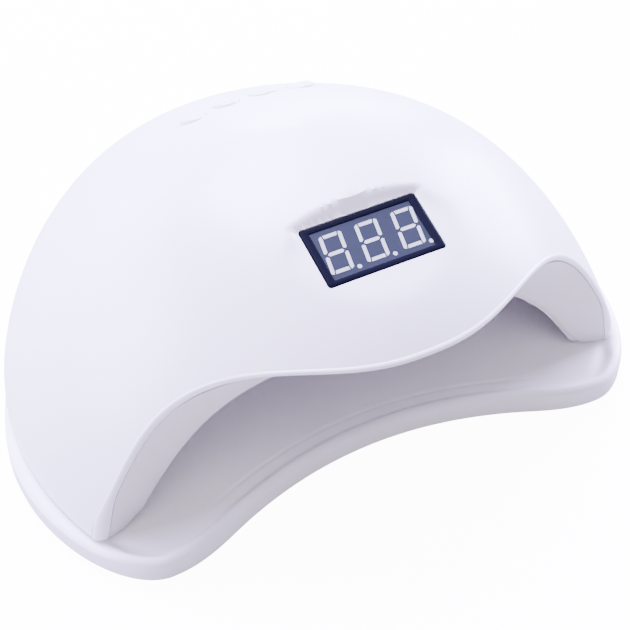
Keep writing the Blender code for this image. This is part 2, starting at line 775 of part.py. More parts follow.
def tray_front(x):
    """Front edge of the right half: a wide hollow blended into a rounded wing."""
    hollow = TRAY_FRONT_Y - TRAY_CONCAVE * x * x
    wing = wing_front(x)
    blend = max(1.0 - abs(hollow - wing) / WING_BLEND, 0.0) ** 2
    return max(hollow, wing) + WING_BLEND / 4.0 * blend


def tray_rear(angle):
    """Plan radius of the tray behind its widest point."""
    fade = math.exp(-((angle - SIDE_ANGLE) / TRAY_BLEND) ** 2)
    return dome_radius(angle) + TRAY_REAR + (SIDE_OUT - TRAY_REAR) * fade


def rim_height(x, y):
    """1 on the wings and the front, fading to 0 beside and under the shell."""
    if abs(x) < 70.0 and y < 20.0:
        return 1.0
    return smooth01((-6.0 - y) / 10.0)


def tray_outline():
    places = [WING_X * i / MID_POINTS for i in range(MID_POINTS)]
    for i in range(WING_POINTS):
        angle = math.pi / 2 * i / WING_POINTS
        places.append(WING_X + (TRAY_HALF - WING_X) * math.sin(angle) ** (2.0 / WING_POW))
    points = [(x, tray_front(x)) for x in places]
    for i in range(BACK_POINTS + 1):
        angle = SIDE_ANGLE + (math.pi - SIDE_ANGLE) * i / BACK_POINTS
        radius = tray_rear(angle)
        points.append((radius * math.sin(angle), DOME_Y - radius * math.cos(angle)))
    return points + [(-x, y) for x, y in points[1:-1]][::-1]


def inset(outline, dist):
    count = len(outline)
    out = []
    for i, (x, y) in enumerate(outline):
        before, after = outline[i - 1], outline[(i + 1) % count]
        dx, dy = after[0] - before[0], after[1] - before[1]
        length = math.hypot(dx, dy)
        out.append((x - dy / length * dist, y + dx / length * dist))
    for _ in range(2 if dist > RELAX_INSET else 0):
        out = [((out[i - 1][0] + out[(i + 1) % count][0]) / 4 + x / 2,
                (out[i - 1][1] + out[(i + 1) % count][1]) / 4 + y / 2)
               for i, (x, y) in enumerate(out)]
    return out


def floor_ring(outline, scale, z):
    cx, cy = TRAY_CENTRE
    return [Vector((cx + (x - cx) * scale, cy + (y - cy) * scale, z))
            for x, y in inset(outline, FLOOR_INSET)]


def tray_body():
    outline = tray_outline()
    tall = [rim_height(x, y) for x, y in outline]
    rings = [[Vector((*TRAY_CENTRE, TRAY_FLOOR_Z))],
             floor_ring(outline, FLOOR_TOP_SCALE, TRAY_FLOOR_Z)]
    for dist, high, low in TRAY_TOP[::-1]:
        rings.append([Vector((x, y, low + (high - low) * share))
                      for (x, y), share in zip(inset(outline, dist), tall)])
    for dist, z in TRAY_UNDER:
        rings.append([Vector((x, y, z)) for x, y in inset(outline, dist)])
    rings.append(floor_ring(outline, FLOOR_UNDER_SCALE, TRAY_UNDER_Z))
    rings.append([Vector((*TRAY_CENTRE, TRAY_UNDER_Z))])
    mesh = bmesh.new()
    add_ring_stack(mesh, rings)
    return finish("base_tray", mesh, "tray_white")


def tray_rods(name, pad, steel):
    """Rods at every pad and steel disc; pad and steel are (radius, low, high)."""
    mesh = bmesh.new()
    for side in (1, -1):
        for _, (x, y) in PADS:
            add_rod(mesh, upright(x * side, y), *pad, 20)
        add_rod(mesh, upright(DISC_AT[0] * side, DISC_AT[1]), *steel, 20)
    return finish(name, mesh)


def build_tray():
    tray = tray_body()
    bosses = tray_rods("cut_tray_add", (PAD_BOSS_R, 0.0, TRAY_FLOOR_Z - 1.0),
                       (DISC_BOSS_R, TRAY_UNDER_Z - 1.4, CAV_FOOT_Z - 0.4))
    boolean(tray, bosses, "UNION")
    pockets = tray_rods("cut_tray", (PAD_R + GAP, -2.0, 1.6), (DISC_R + GAP, 5.2, 12.0))
    boolean(tray, pockets, "DIFFERENCE")


def build_fixings():
    """Rubber pads, steel discs, magnets and screws."""
    for row, (x, y) in PADS:
        for tag, side in SIDES:
            turned(f"foot_pad_{row}_{tag}", "rubber_grey", upright(x * side, y),
                   [(0, -FOOT_PROUD), (4.4, -FOOT_PROUD), (PAD_R, -0.5), (PAD_R, 1.3),
                    (0, 1.3)], 20)
    head = CAV_FOOT_Z + 0.1
    for tag, side in SIDES:
        place = upright(DISC_AT[0] * side, DISC_AT[1])
        disc(f"tray_steel_disc_{tag}", "steel", place, DISC_R, 5.5, 7.7)
        disc(f"housing_magnet_{tag}", "magnet_nickel", place,
             MAGNET_R, MAGNET_Z, MAGNET_Z + MAGNET_T)
        for i, (x, y) in enumerate(SCREWS, 1):
            turned(f"screw_{tag}_{i}", "steel", upright(x * side, y),
                   [(0, head), (2.6, head), (2.9, head + 0.3), (2.9, head + 1.3),
                    (SCREW_R, head + 1.3), (SCREW_R, head + 12.0), (0, head + 12.5)], 12)


build_tray()
build_fixings()

# ---------------------------------------------------------------- display stack
BEZEL_T = 2.5
WIN_W, WIN_H = 34.2, 17.3
PANE_W, PANE_H = WIN_W - 2 * GAP, WIN_H - 2 * GAP
PANE_TOP, PANE_T = -0.1, 0.3
MODULE_TOP = PANE_TOP - PANE_T - 0.12
MODULE_T = 7.4
BOARD_T = 1.6
BOARD_TOP = MODULE_TOP - MODULE_T - GAP
PARTS_TOP = BOARD_TOP - BOARD_T - GAP       # parts hang below the board
CAP_R, CAP_END_R, CAP_LENGTH = 4.0, 3.6, 11.5


def build_display():
    bezel = block("display_bezel", "bezel_navy", DISPLAY, BEZEL_W, BEZEL_H, -BEZEL_T, 0.0,
                  corner=1.0)
    boolean(bezel, block("cut_bezel", None, DISPLAY, WIN_W, WIN_H, -8.0, 4.0), "DIFFERENCE")
    block("display_window", "clear_window", DISPLAY, PANE_W, PANE_H,
          PANE_TOP - PANE_T, PANE_TOP)
    block("display_module", "display_grey", DISPLAY, PANE_W, PANE_H,
          MODULE_TOP - MODULE_T, MODULE_TOP)
    block("main_board", "board_green", DISPLAY, 58.0, 32.0, BOARD_TOP - BOARD_T, BOARD_TOP)
    block("controller_chip", "black_plastic", DISPLAY, 10.0, 7.5,
          PARTS_TOP - 1.8, PARTS_TOP, centre=(-12.0, 2.0))
    block("power_inductor", "black_plastic", DISPLAY, 9.0, 9.0,
          PARTS_TOP - 4.0, PARTS_TOP, centre=(18.0, 6.0), corner=1.5)
    lying = Frame(DISPLAY.at(-2.0, 11.0, PARTS_TOP - CAP_R), (1, 0, 0), (0, 1, 0))
    turned("smoothing_capacitor", "capacitor_sleeve", lying,
           [(0, 0), (CAP_END_R, 0), (CAP_R, 0.4), (CAP_R, CAP_LENGTH - 0.5),
            (CAP_END_R, CAP_LENGTH), (0, CAP_LENGTH)], 16)


build_display()

# ---------------------------------------------------------------- buttons
KEY_PROUD = 0.5
KEY_FLANGE_R = KEY_R + 1.0
KEY_FLANGE_TOP, KEY_FLANGE_LOW = -3.9, -4.9
KEY_STEM_R = 1.5
SWITCH_BOARD_TOP = -12.6        # in the keypad frame
TACT, TACT_T = 6.0, 3.5
PLUNGER_R, PLUNGER_RISE = 1.75, 1.0


def build_key(name, rise, frame):
    """A button with its stem, the switch under it and the switch's plunger."""
    base = SWITCH_BOARD_TOP + 0.25 - rise
    top = base + TACT_T
    plunger_top = top + PLUNGER_RISE
    stem_end = plunger_top + 0.25
    turned(f"button_{name}", "button_white", frame,
           [(0, KEY_PROUD + 0.35), (KEY_R * 0.62, KEY_PROUD + 0.22),
            (KEY_R * 0.93, KEY_PROUD - 0.05), (KEY_R, KEY_PROUD - 0.55),
            (KEY_R, KEY_FLANGE_TOP), (KEY_FLANGE_R, KEY_FLANGE_TOP),
            (KEY_FLANGE_R, KEY_FLANGE_LOW), (KEY_STEM_R, KEY_FLANGE_LOW),
            (KEY_STEM_R, stem_end), (0, stem_end)], 20)
    switch = block(f"tact_switch_{name}", "black_plastic", frame, TACT, TACT, base, top)
    mesh = bmesh.new()
    add_rod(mesh, frame, 2.1, top - 2.2, top + 2.0, 14)
    boolean(switch, finish(f"cut_tact_{name}", mesh), "DIFFERENCE")
    turned(f"tact_plunger_{name}", "button_white", frame,
           [(0, top - 1.4), (PLUNGER_R, top - 1.4), (PLUNGER_R, plunger_top - 0.2),
            (PLUNGER_R - 0.2, plunger_top), (0, plunger_top)], 14)


block("switch_board", "board_green", KEYPAD, 54.0, 13.0,
      SWITCH_BOARD_TOP - BOARD_T, SWITCH_BOARD_TOP, centre=(0.0, -1.0))
for key in KEYS:
    build_key(*key)

# ---------------------------------------------------------------- emitter boards
LED_BOARD_NEAR, LED_BOARD_FAR = 3.2, 4.4    # distances of the two faces from the cavity
LED_BOARD_STEPS = 12
SIDE_BOARD_Y, SIDE_BOARD_LENGTH = 5.0, 62.0
SIDE_BOARD_Z, SIDE_BOARD_HEIGHT, SIDE_BOARD_COLS = 23.0, 33.0, 8
SIDE_BOARD_ORIGIN = (39.0, 0.0)             # height, y
TOP_BOARD_Y, TOP_BOARD_LENGTH = 6.0, 76.0
TOP_BOARD_WIDTH, TOP_BOARD_COLS = 65.0, 10


def led_board(name, start, length, section, origin):
    """Curved board following the cavity; section gives the wall points at a y."""
    rings = []
    for i in range(LED_BOARD_STEPS + 1):
        wall = [(point, cav_normal(point.x, point.y))
                for point in section(start + length * i / LED_BOARD_STEPS)]
        rings.append([point + normal * LED_BOARD_NEAR for point, normal in wall]
                     + [point + normal * LED_BOARD_FAR for point, normal in wall[::-1]])
    mesh = bmesh.new()
    add_ring_stack(mesh, rings)
    finish(name, mesh, "led_board_white", origin, smooth=False)


def build_led_boards():
    for tag, side in SIDES:
        def side_section(y, side=side):
            return [side_point(SIDE_BOARD_Z + SIDE_BOARD_HEIGHT * k / SIDE_BOARD_COLS, y, side)
                    for k in range(SIDE_BOARD_COLS + 1)]
        led_board(f"led_board_{tag}", SIDE_BOARD_Y, SIDE_BOARD_LENGTH, side_section,
                  side_point(*SIDE_BOARD_ORIGIN, side))

    def top_section(y):
        places = [-TOP_BOARD_WIDTH / 2 + TOP_BOARD_WIDTH * k / TOP_BOARD_COLS
                  for k in range(TOP_BOARD_COLS + 1)]
        return [Vector((x, y, cav_z(x, y))) for x in places]
    led_board("led_board_top", TOP_BOARD_Y, TOP_BOARD_LENGTH, top_section,
              (0.0, TOP_BOARD_Y, cav_z(0.0, TOP_BOARD_Y)))


build_led_boards()


# ---------------------------------------------------------------- power inlet
def build_jack():
    """Box with a round collar to the rear, bored for the plug, and the centre pin."""
    jack = block("dc_jack", "black_plastic", JACK, 10.0, 11.0, -9.0, -0.6)
    for name, radius, low, high, seg, operation in (
            ("cut_jack_add", 4.4, -2.0, 3.8, 20, "UNION"),
            ("cut_jack", 3.2, -6.5, 8.0, 18, "DIFFERENCE")):
        mesh = bmesh.new()
        add_rod(mesh, JACK, radius, low, high, seg)
        boolean(jack, finish(name, mesh), operation)
    turned("dc_jack_pin", "steel", JACK,
           [(0, -6.2), (1.05, -6.2), (1.05, 2.2), (0.7, 2.8), (0, 2.9)], 12)


build_jack()

# ---------------------------------------------------------------- leads
CABLE_R = 1.5
CABLE_STEPS = 24
CABLE_REAR_Y, CABLE_LENGTH_Y = 142.5, 125.0
CABLE_SIDE_X = 24.0             # reached in the first third of the run
CABLE_LIFT = 6.5                # above the cavity surface and the jack's middle
CABLE_MIN_SLOPE = 0.42
RIBBON_X = -24.5
RIBBON_STEPS = 12
RIBBON_HALF_W, RIBBON_HALF_T = 3.0, 0.3
RIBBON_SAG = 1.5


def build_power_cable():
    """Round cable from behind the cavity, over it toward the display."""
    path = []
    for i in range(CABLE_STEPS + 1):
        share = i / CABLE_STEPS
        x = CABLE_SIDE_X * min(1.0, share * 3.0)
        y = CABLE_REAR_Y - CABLE_LENGTH_Y * share
        lift = CABLE_LIFT / max(cav_normal(x, y).z, CABLE_MIN_SLOPE)
        path.append(Vector((x, y, max(cav_z(x, y) + lift, JACK.origin.z + CABLE_LIFT))))
    rings = []
    for i, point in enumerate(path):
        frame = Frame(point, path[min(i + 1, CABLE_STEPS)] - path[max(i - 1, 0)])
        rings.append([frame.at(x, y, 0) for x, y in circle(CABLE_R, 8)])
    mesh = bmesh.new()
    add_ring_stack(mesh, rings)
    finish("power_cable", mesh, "cable_black", path[0])


def build_ribbon():
    """Flat sagging lead from the switch board to the main board."""
    start = KEYPAD.at(RIBBON_X, -8.2, SWITCH_BOARD_TOP - 0.8)
    end = DISPLAY.at(RIBBON_X, 17.0, PARTS_TOP + 1.1)
    rings = []
    for i in range(RIBBON_STEPS + 1):
        share = i / RIBBON_STEPS
        centre = start.lerp(end, share)
        centre.z -= RIBBON_SAG * math.sin(math.pi * share)
        rings.append([centre + Vector((sx * RIBBON_HALF_W, 0, sz * RIBBON_HALF_T))
                      for sx, sz in ((1, 1), (-1, 1), (-1, -1), (1, -1))])
    mesh = bmesh.new()
    add_ring_stack(mesh, rings)
    finish("button_ribbon", mesh, "ribbon_grey", start, smooth=False)


build_power_cable()
build_ribbon()
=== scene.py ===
"""Desk curing lamp: a domed shell over a hand space, standing on a winged tray.

The design is laid out in millimetres: front is -Y, left is -X, up is +Z, and x = 0 is the
plane of symmetry. to_world() moves each point into the frame of the CAD pieces, in metres.
"""

import json
import math

import bpy
import bmesh
from mathutils import Vector, Matrix


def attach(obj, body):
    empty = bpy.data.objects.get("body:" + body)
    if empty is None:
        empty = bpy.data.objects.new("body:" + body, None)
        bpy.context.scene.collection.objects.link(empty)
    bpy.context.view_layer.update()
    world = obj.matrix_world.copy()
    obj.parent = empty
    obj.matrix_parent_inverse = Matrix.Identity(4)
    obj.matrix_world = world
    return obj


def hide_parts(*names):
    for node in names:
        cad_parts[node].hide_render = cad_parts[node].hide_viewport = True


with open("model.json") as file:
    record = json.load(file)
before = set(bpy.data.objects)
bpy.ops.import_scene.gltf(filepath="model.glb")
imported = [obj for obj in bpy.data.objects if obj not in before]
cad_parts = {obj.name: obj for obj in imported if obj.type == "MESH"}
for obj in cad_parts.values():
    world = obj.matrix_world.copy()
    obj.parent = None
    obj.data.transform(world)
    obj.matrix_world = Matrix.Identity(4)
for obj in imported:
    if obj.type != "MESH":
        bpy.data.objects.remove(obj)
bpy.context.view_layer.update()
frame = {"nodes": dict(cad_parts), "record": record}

# ---------------------------------------------------------------- dimensions (mm)
MM = 0.001
GAP = 0.3
FOOT_PROUD = 1.0
SHIFT_Y = -64.3
SHIFT_Z = FOOT_PROUD

# Dome. The tuples are cosine series in the angle round the centre, 0 at the front.
DOME_Y = 47.8
DOME_RISE = 91.5
RIM_Z = 9.5
FOOT_Z = 8.2
DOME_PLAN = (112.6, 5.0, 6.5, -0.8, 1.3)  # plan radius
DOME_FULL = (2.10, 0.59, -0.20)  # power of the radius: how full the top is
DOME_DROP = (1.386, -0.144, 0.092)  # power of the height: how steep the rim is
SHELL_T = 2.4

# Front lip of the shell: an arch running down into a leg on each side
LIP_Y = -3.1
LIP_REACH = 30.9
LIP_HALF = 83.2
LIP_POWER = 1.12
LIP_ROLL = 1.4
LIP_DEPTH = (1.3, 0.7, 2.6)  # at the middle, added on the legs, added at the feet
LEG_ROLL = 1.6

# Hand space and the liner round it
CAV_Y = 35.0
CAV_HALF = 83.0
CAV_BACK = 112.0
CAV_RISE = 59.4
CAV_FOOT_Z = 8.4
CAV_PLAN_POWER = 2.15
CAV_RISE_POWER = 1.10
CAV_STRAIGHT = 0.23  # share of the rim columns along the straight sides
LINER_T = 1.8
LINER_TUCK = 4.6
LINER_FOOT_R = 4.5
LINER_EDGE_Y = -0.6
LINER_EDGE_REACH = 15.0
LINER_EDGE_HALF = 72.0
BAND_BULGE = 1.1

TRAY_HALF = 112.0
TRAY_MID_Y = 31.3
TRAY_REAR = -1.0
TRAY_BLEND = math.radians(17.1)
TRAY_FRONT_Y = -3.3
TRAY_CONCAVE = 0.0039
TRAY_CENTRE = (0.0, 52.0)
WING_X = 81.3
WING_Y = -22.0
WING_POWER = 1.79
WING_BLEND = 6.0
TRAY_SKIRT_Z = 6.2
TRAY_EDGE_Z = 9.0
TRAY_LOW_Z = 7.6
TRAY_FLOOR_Z = 7.2
TRAY_WALL = 2.2
TRAY_UNDER_Z = TRAY_FLOOR_Z - TRAY_WALL
TRAY_FLOOR_INSET = 13.0

DISPLAY_Y, DISPLAY_Z = 0.4, 91.1
DISPLAY_TILT = math.radians(15.9)
BEZEL_W, BEZEL_H, BEZEL_T = 39.7, 21.2, 2.5
WINDOW_W, WINDOW_H = 34.2, 17.3
PANE_TOP = -0.1
PANE_T = 0.14
MODULE_TOP = PANE_TOP - PANE_T - 0.04
MODULE_T = 7.4

DIGIT_X = (-12.3, -0.2, 12.25)
DIGIT_Y = -0.05
DIGIT_W, DIGIT_H = 7.6, 13.6
STROKE = 1.18
STROKE_GAP = 0.50
DIGIT_SLANT = math.tan(math.radians(9.0))
DOT_OFFSET_X, DOT_Y, DOT_R = 4.35, -6.95, 0.72
SEGMENT_LIFT, SEGMENT_T = 0.005, 0.05

BUTTON_TILT = math.radians(26.0)
BUTTON_Y = 89.5
BUTTONS = (("10s", -20.0, -2.2), ("30s", -6.7, 0.0), ("60s", 6.7, 0.0), ("99s", 20.0, -2.2))  # x, y
BUTTON_R = 4.5
BUTTON_PROUD = 0.5

LED_R = 3.6
LENS_R = LED_R * 0.80
LED_SIDE = ((30.0, 8.0), (30.0, 48.0), (48.0, 18.0), (48.0, 58.0))  # height, y
LED_TOP = ((0.0, 14.0), (25.0, 30.0), (-25.0, 30.0), (0.0, 50.0), (21.0, 72.0), (-21.0, 72.0))  # x, y
SENSOR_R, SENSOR_X, SENSOR_Z = 2.5, 6.0, 34.0

SCREWS = ((94.0, 22.0), (79.0, 101.0))  # x, y of the right-hand ones
SCREW_PAD = 3.6
DISC_AT = (94.5, 62.0)
DISC_R = 6.0
PADS = ((86.0, -8.0), (60.0, 121.0))
JACK_Z = 24.0

FINE = 1.0


# ---------------------------------------------------------------- shader helpers
def new_material(name):
    material = bpy.data.materials.new(name)
    material.use_nodes = True
    tree = material.node_tree
    return material, tree, tree.nodes["Principled BSDF"]


def object_coords(tree):
    return tree.nodes.new("ShaderNodeTexCoord").outputs["Object"]


def feed(tree, socket, value):
    """Links a socket to an input, or sets the input's value."""
    if isinstance(value, bpy.types.NodeSocket):
        tree.links.new(value, socket)
    else:
        socket.default_value = value


def add_node(tree, kind, **inputs):
    """Adds a node and feeds its inputs; underscores in their names stand for spaces."""
    made = tree.nodes.new(kind)
    for name, value in inputs.items():
        feed(tree, made.inputs[name.replace("_", " ")], value)
    return made


def noise(tree, coords, scale, detail, roughness=0.5, distortion=0.0):
    return add_node(tree, "ShaderNodeTexNoise", Vector=coords, Scale=scale, Detail=detail,
                    Roughness=roughness, Distortion=distortion).outputs["Fac"]


def remap(tree, value, to=(0.0, 1.0), source=(0.35, 0.65)):
    return add_node(tree, "ShaderNodeMapRange", Value=value, From_Min=source[0],
                    From_Max=source[1], To_Min=to[0], To_Max=to[1]).outputs["Result"]


def calc(tree, operation, first, second):
    made = tree.nodes.new("ShaderNodeMath")
    made.operation = operation
    feed(tree, made.inputs[0], first)
    feed(tree, made.inputs[1], second)
    return made.outputs[0]


def shade(rgb, factor=1.0):
    return (*(min(1.0, c * factor) for c in rgb), 1.0)


def mix_colour(tree, factor, first, second):
    mix = tree.nodes.new("ShaderNodeMix")
    mix.data_type = "RGBA"
    # Inputs 6 and 7 are the node's two colours
    for index, value in ((0, factor), (6, first), (7, second)):
        feed(tree, mix.inputs[index], value)
    return mix.outputs[2]


def bump(tree, height, distance, **normal):
    return add_node(tree, "ShaderNodeBump", Height=height, Distance=distance,
                    **normal).outputs["Normal"]


def add_wear(tree, coords, colour, amount, worn_rgb):
    """Mixes the worn colour in along convex edges, broken up by scratches."""
    pointiness = tree.nodes.new("ShaderNodeNewGeometry").outputs["Pointiness"]
    edge = remap(tree, pointiness, source=(0.53, 0.60))
    scratches = remap(tree, noise(tree, coords, scale=160.0, detail=6.0, roughness=0.7),
                      source=(0.45, 0.6))
    rubbed = calc(tree, "MULTIPLY", edge, scratches)
    return mix_colour(tree, calc(tree, "MULTIPLY", rubbed, amount), colour, shade(worn_rgb))


def add_dust(tree, coords, colour, roughness, amount):
    """Greys and roughens the faces that look up."""
    normal = tree.nodes.new("ShaderNodeNewGeometry").outputs["Normal"]
    level = add_node(tree, "ShaderNodeSeparateXYZ", Vector=normal).outputs["Z"]
    upward = remap(tree, level, source=(0.6, 1.0))
    patches = remap(tree, noise(tree, coords, scale=70.0, detail=8.0, roughness=0.75),
                    to=(0.0, amount), source=(0.5, 0.75))
    dusted = calc(tree, "MULTIPLY", upward, patches)
    colour = mix_colour(tree, dusted, colour, shade((0.62, 0.61, 0.60)))
    return colour, calc(tree, "ADD", roughness, dusted)


def surface_material(name, rgb, rough, metal=0.0, vary=0.03, rough_vary=0.08, grain=900.0,
                     grain_h=2e-5, wave=60.0, wave_h=0.0, wear=0.0, wear_rgb=None, dust=0.0,
                     coat=0.0, coat_rough=0.1, spec=0.5, streak=0.0):
    """Opaque surface: vary and rough_vary are the drift in colour and roughness; grain and wave
    are noise scales of the fine and slow bumps, with heights grain_h and wave_h in metres."""
    material, tree, bsdf = new_material(name)
    coords = object_coords(tree)
    drift = remap(tree, noise(tree, coords, scale=22.0, detail=4.0))
    colour = mix_colour(tree, drift, shade(rgb, 1 - vary), shade(rgb, 1 + vary))
    specks = remap(tree, noise(tree, coords, scale=420.0, detail=2.0),
                   to=(0.0, 0.25 * vary / 0.03), source=(0.6, 0.8))
    colour = mix_colour(tree, specks, colour, shade(rgb, 0.92))
    blotches = noise(tree, coords, scale=35.0, detail=5.0, roughness=0.6, distortion=0.4)
    roughness = remap(tree, blotches, to=(rough - rough_vary, rough + rough_vary))
    if wear:
        colour = add_wear(tree, coords, colour, wear, wear_rgb)
    if dust:
        colour, roughness = add_dust(tree, coords, colour, roughness, dust)

    normal = bump(tree, noise(tree, coords, scale=grain, detail=2.0), grain_h)
    if wave_h:
        normal = bump(tree, noise(tree, coords, scale=wave, detail=1.0), wave_h, Normal=normal)
    if streak:
        stretched = add_node(tree, "ShaderNodeMapping", Vector=coords,
                             Scale=(1.0, 30.0, 1.0)).outputs["Vector"]
        normal = bump(tree, noise(tree, stretched, scale=120.0, detail=4.0), streak,
                      Normal=normal)

    for socket, value in (
            ("Base Color", colour), ("Roughness", roughness), ("Metallic", metal),
            ("Specular IOR Level", spec), ("Coat Weight", coat),
            ("Coat Roughness", coat_rough), ("Normal", normal)):
        feed(tree, bsdf.inputs[socket], value)
    return material


# ---------------------------------------------------------------- materials
SURFACES = {
    "shell_white": dict(rgb=(0.83, 0.83, 0.885), rough=0.36, vary=0.012, rough_vary=0.05,
                        grain=1400.0, grain_h=6e-6, wave=45.0, wave_h=2e-5, dust=0.03,
                        coat=0.18, coat_rough=0.22),
    # Liner: white plastic like the shell, set darker and warmer as painted shade of the
    # forward-facing leg bands and the hand space
    "liner_white": dict(rgb=(0.70, 0.677, 0.672), rough=0.46, vary=0.015, rough_vary=0.06,
                        grain=1100.0, grain_h=1e-5, wave=40.0, wave_h=2e-5),
    "tray_white": dict(rgb=(0.82, 0.815, 0.87), rough=0.40, vary=0.014, rough_vary=0.07,
                       grain=1200.0, grain_h=8e-6, wave=38.0, wave_h=3e-5, dust=0.06,
                       coat=0.1, coat_rough=0.3),
    "button_white": dict(rgb=(0.85, 0.85, 0.90), rough=0.24, vary=0.012, rough_vary=0.06,
                         grain=1500.0, grain_h=4e-6, coat=0.3, coat_rough=0.12),
    "bezel_navy": dict(rgb=(0.0011, 0.0013, 0.0062), rough=0.5, vary=0.12, rough_vary=0.06,
                       grain=1800.0, grain_h=4e-6, spec=0.03),
    "display_grey": dict(rgb=(0.024, 0.028, 0.038), rough=0.5, vary=0.05, rough_vary=0.05,
                         grain=2400.0, grain_h=3e-6, spec=0.05),
    "rubber_grey": dict(rgb=(0.12, 0.12, 0.125), rough=0.85, vary=0.08, grain_h=6e-5,
                        wear=0.3, wear_rgb=(0.3, 0.3, 0.3)),
    "board_green": dict(rgb=(0.012, 0.13, 0.05), rough=0.42, vary=0.12, rough_vary=0.1,
                        grain=700.0, grain_h=3e-5, wear=0.2, wear_rgb=(0.35, 0.36, 0.2)),
    "led_board_white": dict(rgb=(0.72, 0.72, 0.70), rough=0.5, grain=800.0),
    "black_plastic": dict(rgb=(0.014, 0.014, 0.015), rough=0.48, vary=0.1, grain=1200.0,
                          wear=0.25, wear_rgb=(0.12, 0.12, 0.12), spec=0.35),
    "sensor_dark": dict(rgb=(0.02, 0.008, 0.03), rough=0.16, vary=0.1, grain=600.0,
                        grain_h=1e-5, coat=0.4),
    "steel": dict(rgb=(0.52, 0.53, 0.55), rough=0.3, metal=1.0, vary=0.06, grain=700.0,
                  grain_h=1e-5, streak=2e-5, wear=0.3, wear_rgb=(0.75, 0.75, 0.75)),
    "magnet_nickel": dict(rgb=(0.62, 0.60, 0.56), rough=0.2, metal=1.0, vary=0.05,
                          grain=500.0, grain_h=1e-5, wear=0.3, wear_rgb=(0.8, 0.78, 0.72)),
    "capacitor_sleeve": dict(rgb=(0.012, 0.02, 0.055), rough=0.4, vary=0.08),
    "cable_black": dict(rgb=(0.015, 0.015, 0.016), rough=0.6, vary=0.08, grain_h=4e-5),
    "ribbon_grey": dict(rgb=(0.36, 0.37, 0.40), rough=0.55, vary=0.05, grain=700.0,
                        streak=6e-5),
    "chip_yellow": dict(rgb=(0.62, 0.50, 0.16), rough=0.4, vary=0.1),
    "segment_white": dict(rgb=(0.40, 0.43, 0.38), rough=0.5, vary=0.02, grain=1500.0,
                          grain_h=3e-6),
    "print_grey": dict(rgb=(0.46, 0.46, 0.56), rough=0.5, grain=1500.0, grain_h=3e-6),
}


def clear_window_material():
    """Clear plastic: mostly see-through, with a soft and slightly uneven surface shine."""
    material, tree, bsdf = new_material("clear_window")
    coords = object_coords(tree)
    clear = add_node(tree, "ShaderNodeBsdfTransparent", Color=(0.97, 0.975, 0.985, 1.0))
    normal = bump(tree, noise(tree, coords, scale=300.0, detail=2.0), distance=1e-5)
    gloss = add_node(
        tree, "ShaderNodeBsdfGlossy", Color=(0.9, 0.9, 0.95, 1.0), Normal=normal,
        Roughness=remap(tree, noise(tree, coords, scale=60.0, detail=4.0), to=(0.056, 0.12)))
    fresnel = add_node(tree, "ShaderNodeFresnel", IOR=1.35).outputs[0]
    strength = remap(tree, noise(tree, coords, scale=90.0, detail=3.0), to=(0.09, 0.10))
    mix = tree.nodes.new("ShaderNodeMixShader")
    sources = (calc(tree, "MULTIPLY", fresnel, strength), clear.outputs[0], gloss.outputs[0])
    for socket, source in zip(mix.inputs, sources):
        tree.links.new(source, socket)
    tree.links.new(mix.outputs[0], tree.nodes["Material Output"].inputs["Surface"])
    tree.nodes.remove(bsdf)
    return material


def led_lens_material():
    material, tree, bsdf = new_material("led_lens")
    coords = object_coords(tree)
    cloud = remap(tree, noise(tree, coords, scale=200.0, detail=2.0))
    colour = mix_colour(tree, cloud, shade((0.84, 0.82, 0.95)), shade((0.95, 0.94, 0.99)))
    roughness = remap(tree, noise(tree, coords, scale=150.0, detail=3.0), to=(0.03, 0.10))
    normal = bump(tree, noise(tree, coords, scale=500.0, detail=2.0), distance=1e-5)
    for socket, value in (("Base Color", colour), ("Roughness", roughness),
                          ("Transmission Weight", 0.92), ("IOR", 1.42), ("Normal", normal)):
        feed(tree, bsdf.inputs[socket], value)
    return material


MATERIALS = {name: surface_material(name, **looks) for name, looks in SURFACES.items()}
MATERIALS["clear_window"] = clear_window_material()
MATERIALS["led_lens"] = led_lens_material()


# ---------------------------------------------------------------- objects from meshes
def to_world(point):
    return Vector((point[0], point[1] + SHIFT_Y, point[2] + SHIFT_Z)) * MM


def mark_sharp(bm, angle, smooth=True):
    limit = math.radians(angle)
    for face in bm.faces:
        face.smooth = smooth
    for edge in bm.edges:
        edge.smooth = not (len(edge.link_faces) == 2 and edge.calc_face_angle(0.0) > limit)


def link_mesh(name, bm):
    mesh = bpy.data.meshes.new(name)
    bm.to_mesh(mesh)
    bm.free()
    ob = bpy.data.objects.new(name, mesh)
    bpy.context.scene.collection.objects.link(ob)
    return ob


def solid(name, bm, angle=32.0, smooth=True):
    """Welds and orients a mesh in design millimetres and links it at its place in the world."""
    bmesh.ops.remove_doubles(bm, verts=bm.verts, dist=0.0004)
    bmesh.ops.recalc_face_normals(bm, faces=bm.faces)
    for vert in bm.verts:
        vert.co = to_world(vert.co)
    mark_sharp(bm, angle, smooth)
    return link_mesh(name, bm)


def finish(name, bm, material, replaces=None, body="housing", slot=None, **shading):
    ob = solid(name, bm, **shading)
    ob.data.materials.append(MATERIALS[material])
    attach(ob, body)
    if replaces:
        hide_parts(replaces)
    return ob


def cut(ob, steps, angle):
    """Applies boolean steps [(tool, operation)] for good and removes the tools."""
    for tool, operation in steps:
        modifier = ob.modifiers.new("b", "BOOLEAN")
        modifier.operation = operation
        modifier.solver = "EXACT"
        modifier.object = tool
    bpy.context.view_layer.update()
    depsgraph = bpy.context.evaluated_depsgraph_get()
    mesh = bpy.data.meshes.new_from_object(ob.evaluated_get(depsgraph))
    ob.modifiers.clear()
    bm = bmesh.new()
    bm.from_mesh(mesh)
    mark_sharp(bm, angle)
    bm.to_mesh(mesh)
    bm.free()
    material = ob.data.materials[0]
    ob.data = mesh
    mesh.materials.clear()
    mesh.materials.append(material)
    for tool, _ in steps:
        bpy.data.objects.remove(tool, do_unlink=True)


